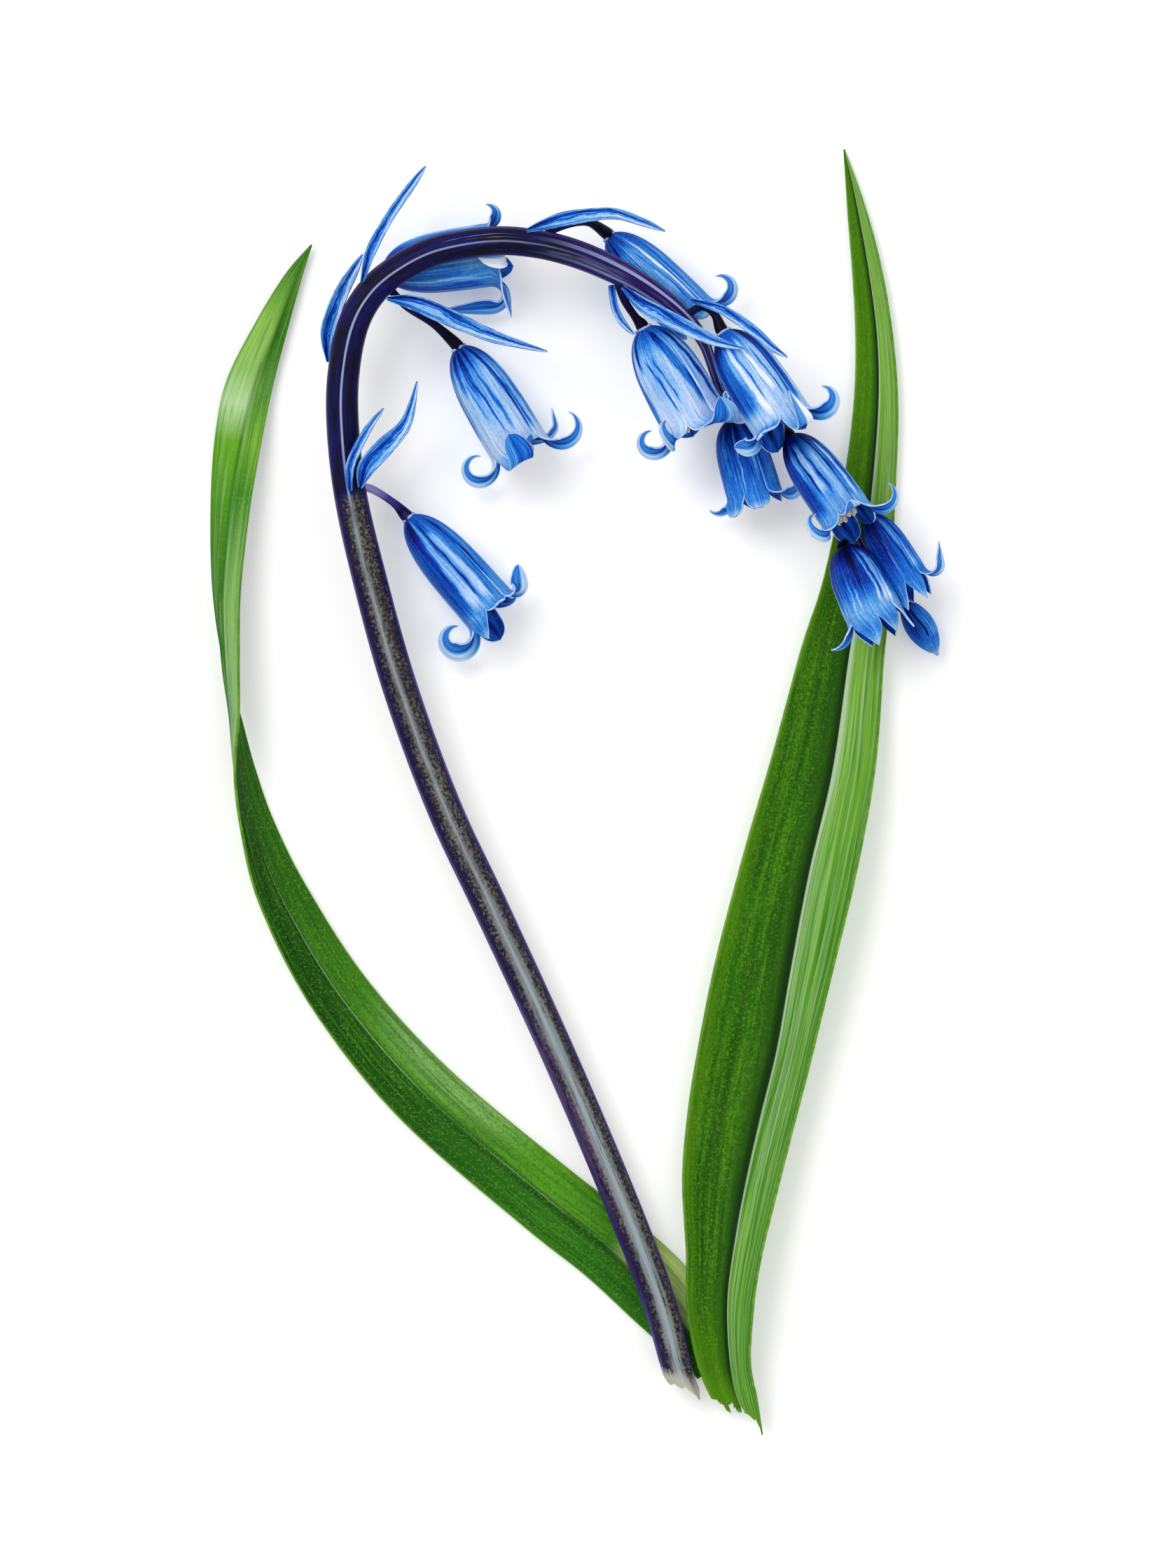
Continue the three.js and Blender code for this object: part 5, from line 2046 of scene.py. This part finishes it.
# Lighter strokes near 0 and 180 degrees are painted light lines along a bell's silhouettes, and some narrow
# lighter ones painted white glints
BELLS = [
    BellPlace(
        1, (-21.7, 35.5, 4.8), (-11.6, 24, 5.3), 3.6, 8, 0.85,
        (Tip(142, 4.4, 0.4, 62, broad=0.7, taper=2.4, blunt=0.6), Tip(120, 1.2, blunt=0.6),
         Tip(14, 3.4, taper=1.5), Tip(322, 9.6, 1, 60, broad=1.15, taper=2.0),
         Tip(8, 4.2, taper=4, blunt=0.6), Tip(138, 5.0, 0.5, 40, swing=6, broad=0.45, pale=0.4)),
        TepalFinish(0.34, 0.47, 0.54, (
            S(122, 138, 25, -0.26), S(96, 104, 4.5, 0.3, 0, 1, 3), S(84, 88, 2.5, -0.3, 0.1, 0.95),
            S(74, 72, 5, 0.26, 0.2, 1, 2), S(56, 58, 5, -0.12, 0, 1, 1.5), S(42, 40, 2.2, -0.28, 0.1, 0.85),
            S(30, 26, 5, 0.1, 0.05, 0.7), S(4, 4, 8, 0.2), S(154, 162, 2, 0.2, 0.02, 0.5),
            S(176, 178, 5, 0.2, 0.2),
        )),
    ),
    BellPlace(
        2, (-15.3, 57.3, 5.2), (-8, 45.2, 5.3), 3.8, 6, 1.15,
        (Tip(220, 9.2, 1, 58, start=0.1, broad=0.6, taper=2), Tip(150, 2.2, 0.8, blunt=0.6),
         Tip(176, 7, 0.55, start=0.25, swing=-34, broad=0.9, taper=4, blunt=0.5, pale=0.5),
         Tip(318, 9.5, 1, 60, broad=0.7, taper=2), Tip(30, 2.6, blunt=0.6),
         Tip(160, 5.6, 0.6, 58, swing=30, broad=0.5)),
        TepalFinish(0.32, 0.7, 0.82, (
            S(130, 126, 9, -0.36, 0, 0.45, 0.6), S(106, 102, 8, -0.32, 0, 0.52, 0.5),
            S(106, 92, 2.6, -0.26, 0.35, 0.95), S(84, 76, 4, -0.3, 0, 0.92, 0.7),
            S(152, 150, 5, -0.25, 0, 0.3), S(176, 172, 6, -0.4, 0.1, 0.85), S(54, 40, 6, -0.44, 0, 1, 1.6),
            S(22, 16, 5, -0.25), S(118, 112, 2.4, -0.16, 0.3, 0.75),
        )),
    ),
    BellPlace(
        3, (-24.9, 67.2, 4.5), (-11.8, 69.1, 4.6), 4.0, 10, 0.85,
        (Tip(155, 4.4, 0.9, 58, start=0.15, broad=0.6),
         Tip(172, 6.4, 0.6, start=0.2, swing=22, broad=1.1, taper=4, blunt=0.7, pale=1.3),
         Tip(84, 5.8, 0.4, 20, swing=30, broad=1.0, taper=1.3),
         Tip(183, 11, 0.36, 62, broad=0.8, taper=2.2, pale=0.6), Tip(30, 3.4, blunt=0.6), Tip(50, 3)),
        TepalFinish(0.24, 0.46, 0.52, (
            S(150, 150, 12, -0.22, 0, 1, 1), S(128, 128, 3, 0.2, 0.1, 0.9), S(172, 172, 5, 0.1),
            S(0, 0, 22, 0.2), S(100, 100, 14, 0.08, 0.4, 1), S(66, 70, 3, -0.2, 0.1, 0.9),
        )),
    ),
    BellPlace(
        4, (4.1, 71.7, 4.4), (14, 61.8, 4.2), 3.5, 8, 0.85,
        (Tip(250, 7.4, 1, 56, start=0.05, broad=0.65, taper=2.2), Tip(60, 2.5, blunt=0.6), Tip(20, 2.5),
         Tip(40, 2.5), Tip(15, 2.5), Tip(15, 2.5)),
        TepalFinish(0.32, 0.5, 0.5, (
            S(62, 52, 2.4, 0.4, 0.12), S(84, 72, 12, 0.12, 0.15, 0.85), S(104, 92, 9, 0.12, 0.2, 0.7),
            S(135, 135, 8, -0.26, 0, 0.3), S(112, 112, 4, -0.26, 0, 0.35), S(90, 80, 2, 0.22, 0.05, 0.4),
            S(8, 8, 6, -0.22, 0.2), S(76, 64, 2.2, -0.2, 0.3), S(26, 30, 2, 0.16, 0.3),
        )),
    ),
    BellPlace(
        5, (8.5, 59.7, 9.8), (14.7, 48.4, 9.6), 4.35, 18, 1.12,
        (Tip(150, 5.2, 0.7, 66, broad=1.1, taper=4, blunt=0.5, pale=1.3),
         Tip(165, 6.4, 0.72, 20, start=0.08, swing=-22, broad=1.1, taper=3, blunt=0.7, pale=0.8),
         Tip(290, 7.8, 1, 62, swing=-14, broad=0.5, taper=2.2),
         Tip(300, 7.8, 1, 60, swing=-8, broad=0.7, taper=2), Tip(40, 2.4, blunt=0.6),
         Tip(110, 4, 0.7, 40, swing=30, broad=0.7)),
        TepalFinish(0.38, 0.75, 0.82, (
            S(166, 158, 11, -0.44), S(178, 176, 4, -0.2, 0.1, 0.8), S(140, 122, 4, -0.6, 0, 0.42, 0.6),
            S(124, 104, 1.8, -0.38, 0.3, 0.95), S(110, 92, 1.7, -0.34, 0.3, 0.85),
            S(78, 56, 9, -0.42, 0.04, 0.96, 0.8), S(42, 28, 5, -0.54, 0.1, 1, 0.8),
            S(24, 16, 3, -0.32, 0.1), S(6, 4, 6, -0.34),
        )),
    ),
    BellPlace(
        6, (18.7, 59.1, 12.8), (25.7, 48.2, 14.1), 3.95, 0, 1.05,
        (Tip(240, 7.5, 1, 60, start=0.08, broad=0.65, taper=2.4),
         Tip(174, 8, 0.5, start=0.27, broad=0.95, taper=1.6, pale=1.5), Tip(120, 2.2, taper=3, blunt=0.6),
         Tip(125, 3.8, 0.6, 55, broad=0.8, taper=3, blunt=0.6), Tip(30, 3.4, taper=3, blunt=0.6),
         Tip(40, 2.8, blunt=0.6)),
        TepalFinish(0.36, 0.71, 0.77, (
            S(148, 136, 30, -0.42, 0, 0.92), S(177, 178, 4, 0.15, 0.2, 0.8),
            S(106, 98, 2.6, 0.26, 0.05, 1, 2.4), S(88, 86, 8, 0.14, 0.15, 0.95),
            S(76, 68, 4.2, 0.3, 0.12, 0.8), S(97, 92, 1.8, -0.3, 0.2, 0.85),
            S(60, 58, 2.4, -0.28, 0.3, 0.9), S(34, 34, 15, -0.4), S(48, 44, 2.4, 0.2, 0.2, 0.8),
            S(16, 14, 2.6, 0.2, 0.3, 0.9),
        )),
    ),
    BellPlace(
        7, (19.9, 48.2, 4.4), (22.6, 39, 4.6), 3.55, 25, 0.85,
        (Tip(185, 5.2, 0.9, 52, broad=0.65, taper=2.4), Tip(24, 2.6, taper=4, blunt=0.5),
         Tip(20, 2.8, taper=4, blunt=0.5), Tip(160, 3.8, 1, 58, swing=-12, broad=0.5), Tip(36, 2.3),
         Tip(30, 2.3)),
        TepalFinish(0.12, 0.32, 0.42, (
            S(98, 104, 1.8, 0.34, 0.1), S(130, 130, 5, 0.16, 0.1, 0.8), S(150, 150, 3, -0.15, 0.1, 0.9),
            S(172, 172, 6, 0.22, 0.1), S(70, 70, 5, 0.16, 0.2, 0.8), S(40, 40, 8, 0.12, 0.1),
            S(86, 88, 6, -0.14, 0, 0.9), S(20, 20, 4, -0.15, 0.2), S(116, 120, 1.6, 0.16, 0.3, 0.9),
        )),
    ),
    BellPlace(
        8, (27.2, 45.9, 9.5), (33.9, 36.4, 10.9), 3.4, 15, 1.12,
        (Tip(195, 7.8, 0.95, 50, start=0.15, broad=0.55, taper=2.2), Tip(150, 2.6, 0.8, blunt=0.6),
         Tip(300, 8.4, 1, 62, swing=-2, broad=0.5, taper=2.2), Tip(150, 2.6, 0.8, broad=0.7),
         Tip(8, 4.0, taper=4, blunt=0.5), Tip(10, 3.4, taper=4, blunt=0.5)),
        TepalFinish(0.12, 0.52, 0.58, (
            S(148, 140, 24, -0.36), S(174, 174, 4, 0.24, 0.2, 0.9), S(122, 116, 2.4, 0.2, 0.2, 0.6),
            S(98, 98, 7, 0.3, 0.12, 0.8), S(109, 108, 2, -0.36, 0.15, 0.8), S(85, 84, 2, -0.3, 0.2, 0.85),
            S(72, 70, 5, 0.16, 0.3), S(56, 50, 3.6, -0.34, 0.1), S(40, 36, 3, 0.36, 0.2),
            S(28, 24, 3.4, -0.3, 0.1), S(8, 6, 6, 0.12, 0.3),
        )),
    ),
    BellPlace(
        9, (34.1, 31.8, 8.2), (37.8, 23.4, 9.1), 3.6, 0, 0.8,
        (Tip(16, 4), Tip(-10, 4, swing=-6), Tip(-12, 4.8, swing=-14, broad=1.1),
         Tip(115, 5.0, 1, 50, swing=-10, broad=0.5), Tip(-10, 4), Tip(-10, 4)),
        TepalFinish(0.07, 0.22, 0.6, (
            S(90, 92, 10, -0.14, 0, 0.4), S(174, 174, 4, 0.3, 0.05), S(154, 150, 1.8, 0.4, 0.2),
            S(128, 124, 12, -0.06, 0.1, 0.6), S(106, 106, 2, 0.26, 0.5), S(116, 118, 1.6, 0.24, 0.5),
            S(66, 62, 2, 0.36, 0.05), S(48, 42, 11, 0.32, 0.15), S(58, 54, 1.8, -0.26, 0.2, 0.9),
            S(34, 30, 2, 0.3, 0.3), S(12, 10, 8, -0.1),
        )),
    ),
    BellPlace(
        10, (37.4, 35.8, 5.8), (42.2, 27.9, 6.2), 2.7, 12, 0.72,
        (Tip(152, 5.8, 0.5, 40, start=0.04, broad=0.7), Tip(15, 4), Tip(5, 4), Tip(0, 4), Tip(-8, 3.4),
         Tip(0, 3.6)),
        TepalFinish(0.1, 0.25, 0.38, (
            S(120, 120, 30, -0.05), S(58, 44, 12, 0.26, 0.1), S(75, 62, 2, -0.2, 0.2),
            S(30, 20, 8, 0.16, 0.2), S(96, 96, 1.6, 0.22, 0.4), S(4, 4, 6, 0.2, 0.1),
        )),
    ),
]

BUD = BellPlace(
    0, (42.2, 24.5, 2.7), (46.3, 18.1, 2.1), 1.95, 20, 0, (Tip(0, 0.35),) * 6,
    TepalFinish(0.2, 0.32, 0.38, (
        S(86, 80, 3.5, -0.5, 0, 0.95), S(130, 130, 30, -0.08), S(45, 40, 20, 0.16, 0.1),
        S(60, 56, 2, 0.2, 0.1, 0.8),
    )),
)


@dataclass
class Stamens:
    """Ovary, style and six filaments with their anthers inside one bell, in millimetres.

    Attributes:
        place: The flower.
        foot_gap: From the bell's second row of shape to the foot of the ovary.
        ovary: Its shape, as heights above that foot and radii, up to the style.
        style_share: Share of the stamens' reach at which the style ends.
        stigma: How long and how thick the end of the style is.
        filament_radius: Radius of a filament.
        filament_foot: How high above the ovary's foot it starts, and how far out.
        filament_bend: How high above that foot it runs straight.
        filament_end: How far below the stamens' reach it ends.
        spread: How far out it stands, as a share of the bell's radius.
        anther_drop: How far below the stamens' reach the middle of an anther lies.
        anther_size: Half its breadth, half its depth, and half its length.
        waist: How deep the furrow between its two lobes is, and its half breadth.
    """

    place: BellPlace
    foot_gap: float = 1.02
    ovary: Pairs = ((0.0, 0.6), (0.5, 0.8075), (1.4, 0.95), (2.4, 0.57), (3.2, 0.24))
    style_share: float = 0.86
    stigma: tuple[float, float] = (0.3, 0.3)
    filament_radius: float = 0.2
    filament_foot: tuple[float, float] = (0.8, 0.5)
    filament_bend: float = 3.0
    filament_end: float = 1.2
    spread: float = 0.4
    anther_drop: float = 0.8
    anther_size: tuple[float, float, float] = (0.42, 0.315, 0.95)
    waist: tuple[float, float] = (0.35, 0.3)

    @staticmethod
    def rod(frame: BellFrame, angle: float, heights: Sequence[Row], sides: int = 8, rings: int = 20) -> Item:
        """One thin part of the flower, by how high and how far out it lies, and its radius there."""
        rows = [[*frame.place(height, out, angle), radius] for height, out, radius in heights]
        return tube("rod", Line(rows, 6), sides, rings)

    def anther(self, frame: BellFrame, middle: Vector, angle: float) -> Item:
        """A two-lobed anther along the flower's line.

        Args:
            frame: The bell's frame.
            middle: Its middle in millimetres.
            angle: Where it stands round the flower.

        Returns:
            The anther.
        """
        bpy.ops.mesh.primitive_uv_sphere_add(segments=14, ring_count=10, radius=1)
        item = fresh("anther")
        out, side = frame.outward(angle), frame.outward(angle + 90)
        breadth, depth, length = self.anther_size
        for vertex in item.data.vertices:
            x, y, z = vertex.co
            furrow = 1 - self.waist[0] * math.exp(-((x / self.waist[1]) ** 2))
            spot = side * (x * breadth) + out * (y * depth * furrow) + frame.along * (z * length)
            vertex.co = (middle + spot) * MM
        return item

    def build(self, tissue: Material, pollen: Material) -> Item:
        """Builds and dresses the parts inside the bell.

        Args:
            tissue: Finish of ovary, style and filaments.
            pollen: Finish of the anthers.

        Returns:
            One object.
        """
        spot = self.place
        frame = spot.frame(spot.roll)
        top = spot.reach * frame.length
        start = BELL_PROFILE[1][0] * frame.length + self.foot_gap
        end, style_radius = self.style_share * top, self.ovary[-1][1]
        pistil = [(start + height, 0, radius) for height, radius in self.ovary]
        pistil += [(end - self.stigma[0], 0, style_radius), (end, 0, self.stigma[1])]
        pieces = [self.rod(frame, 0, pistil, 12, 40)]
        anthers = []
        rise, foot_out = self.filament_foot
        out = self.spread * spot.radius
        for angle in range(0, 360, 60):
            way = [
                (start + rise, foot_out, self.filament_radius),
                (start + self.filament_bend, out, self.filament_radius),
                (top - self.filament_end, out, self.filament_radius),
            ]
            pieces.append(self.rod(frame, angle, way))
            anthers.append(self.anther(frame, frame.place(top - self.anther_drop, out, angle), angle))
        for item in pieces:
            dress(item, [tissue])
        for item in anthers:
            dress(item, [pollen])
        whole = joined(f"stamens_{spot.number}_set", pieces + anthers)
        smooth(whole)
        return whole


# Floor, light and camera


@dataclass(frozen=True)
class Lamp:
    """One square lamp that looks at the plant: its place and size in metres, and its power in watts."""

    name: str
    place: tuple[float, float, float]
    size: float
    power: float

    def build(self) -> None:
        """Hangs the lamp."""
        data = bpy.data.lights.new(self.name, "AREA")
        data.size = self.size
        data.energy = self.power
        lamp = bpy.data.objects.new(self.name, data)
        bpy.context.scene.collection.objects.link(lamp)
        lamp.location = self.place
        lamp.rotation_euler = Vector(self.place).to_track_quat("Z", "Y").to_euler()


@dataclass
class Studio:
    """A pale floor, soft light from above, and a camera that looks straight down."""

    photo_height_mm: float = 201.4
    centre: tuple[float, float] = (0.18, 1.26)
    camera_height: float = 2.0
    subject_height: float = 0.006
    sensor: float = 36.0
    floor_size: float = 6.0
    floor_tone: int = 0xE9E8E5
    floor_glow: float = 0.26
    floor_roughness: float = 0.9
    floor_gloss: float = 0.1
    room_tone: tuple[float, float, float, float] = (0.97, 0.98, 1.0, 1.0)
    room_glow: float = 0.6
    lamps: tuple[Lamp, ...] = (
        Lamp("key", (-0.7, 0.7, 1.3), 0.9, 15.0),
        Lamp("fill", (0.9, -0.5, 1.2), 1.2, 5.0),
    )

    def build_floor(self) -> None:
        """The surface that the plant lies on."""
        bpy.ops.mesh.primitive_plane_add(size=self.floor_size)
        floor = fresh("floor")
        material = bpy.data.materials.new("floor_paper")
        material.use_nodes = True
        shader = material.node_tree.nodes["Principled BSDF"]
        looks = {"Base Color": colour(self.floor_tone), "Emission Color": colour(0xFFFFFF)}
        looks |= {"Emission Strength": self.floor_glow, "Roughness": self.floor_roughness}
        for name, value in {**looks, "Specular IOR Level": self.floor_gloss}.items():
            shader.inputs[name].default_value = value
        dress(floor, [material])

    def build_world(self) -> None:
        """Even pale light from all round."""
        world = bpy.data.worlds.new("pale_room")
        world.use_nodes = True
        background = world.node_tree.nodes["Background"]
        background.inputs["Color"].default_value = self.room_tone
        background.inputs["Strength"].default_value = self.room_glow
        bpy.context.scene.world = world

    def build_camera(self) -> None:
        """A long lens straight above the middle of the photograph's frame."""
        data = bpy.data.cameras.new("camera")
        data.sensor_fit = "VERTICAL"
        data.sensor_height = self.sensor
        distance = self.camera_height - self.subject_height
        data.lens = self.sensor * distance / (self.photo_height_mm * MM)
        camera = bpy.data.objects.new("camera", data)
        bpy.context.scene.collection.objects.link(camera)
        camera.location = (self.centre[0] * MM, self.centre[1] * MM, self.camera_height)
        bpy.context.scene.camera = camera

    def build(self) -> None:
        """Sets the whole stage."""
        self.build_floor()
        self.build_world()
        for lamp in self.lamps:
            lamp.build()
        self.build_camera()
        bpy.context.scene.view_settings.view_transform = "Standard"


def seat(piece: Item, slot: Slot, *nodes: str) -> None:
    """Ties a finished piece to the model.

    Args:
        piece: The piece.
        slot: A material slot; not used.
        nodes: The solids that it stands for.
    """
    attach(piece, ROOT_BODY)
    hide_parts(*nodes)
    LOG.info("%s: %d faces, stands for %s", piece.name, len(piece.data.polygons), ", ".join(nodes))


def main() -> None:
    """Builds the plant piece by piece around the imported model."""
    logging.basicConfig(level=logging.INFO, format="%(name)s %(message)s")
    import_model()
    effects = SharedEffects()
    Studio().build()
    seat(Stem().build(effects), Slot.STEM, "flower_stem")
    right = Blade("leaf_right_blade", RIGHT_LEAF, LEAF_SIZE, RIGHT_TEAR)
    seat(right.build(RightLeafFinish().all(effects)), Slot.LEAF, "leaf_right")
    left = Blade("leaf_left_blade", LEFT_LEAF, LEAF_SIZE)
    seat(left.build(LeftLeafFinish().all(effects)), Slot.LEAF, "leaf_left")
    bract_materials = BractFinish().all(effects)
    for name, table in BRACTS.items():
        rows = [(x, y, z, half, half, 0, fold) for x, y, z, half, fold in table]
        seat(Blade(f"{name}_blade", rows, BRACT_SIZE).build(bract_materials), Slot.BRACT, name)
    tissue, pollen = OVARY.skin(effects), ANTHER.skin(effects)
    lining = LiningFinish()
    inner = [lining.inside(effects), lining.edge(effects)]
    for spot in BELLS:
        name = f"bell_{spot.number}"
        skin = spot.finish.outside(name, effects)
        seat(Bell(spot).build(f"{name}_tepals", [skin, *inner]), Slot.TEPAL, name)
        seat(Stamens(spot).build(tissue, pollen), Slot.STAMEN, f"stamens_{spot.number}")
    bud = Bell(BUD, tip_rows=3, mouth_share=0.97, profile=smooth_rows(BUD_PROFILE, 8))
    seat(bud.build("bud_tepals", [BUD.finish.outside("bud", effects), *inner]), Slot.TEPAL, "bud")


if __name__ == "__main__":
    main()
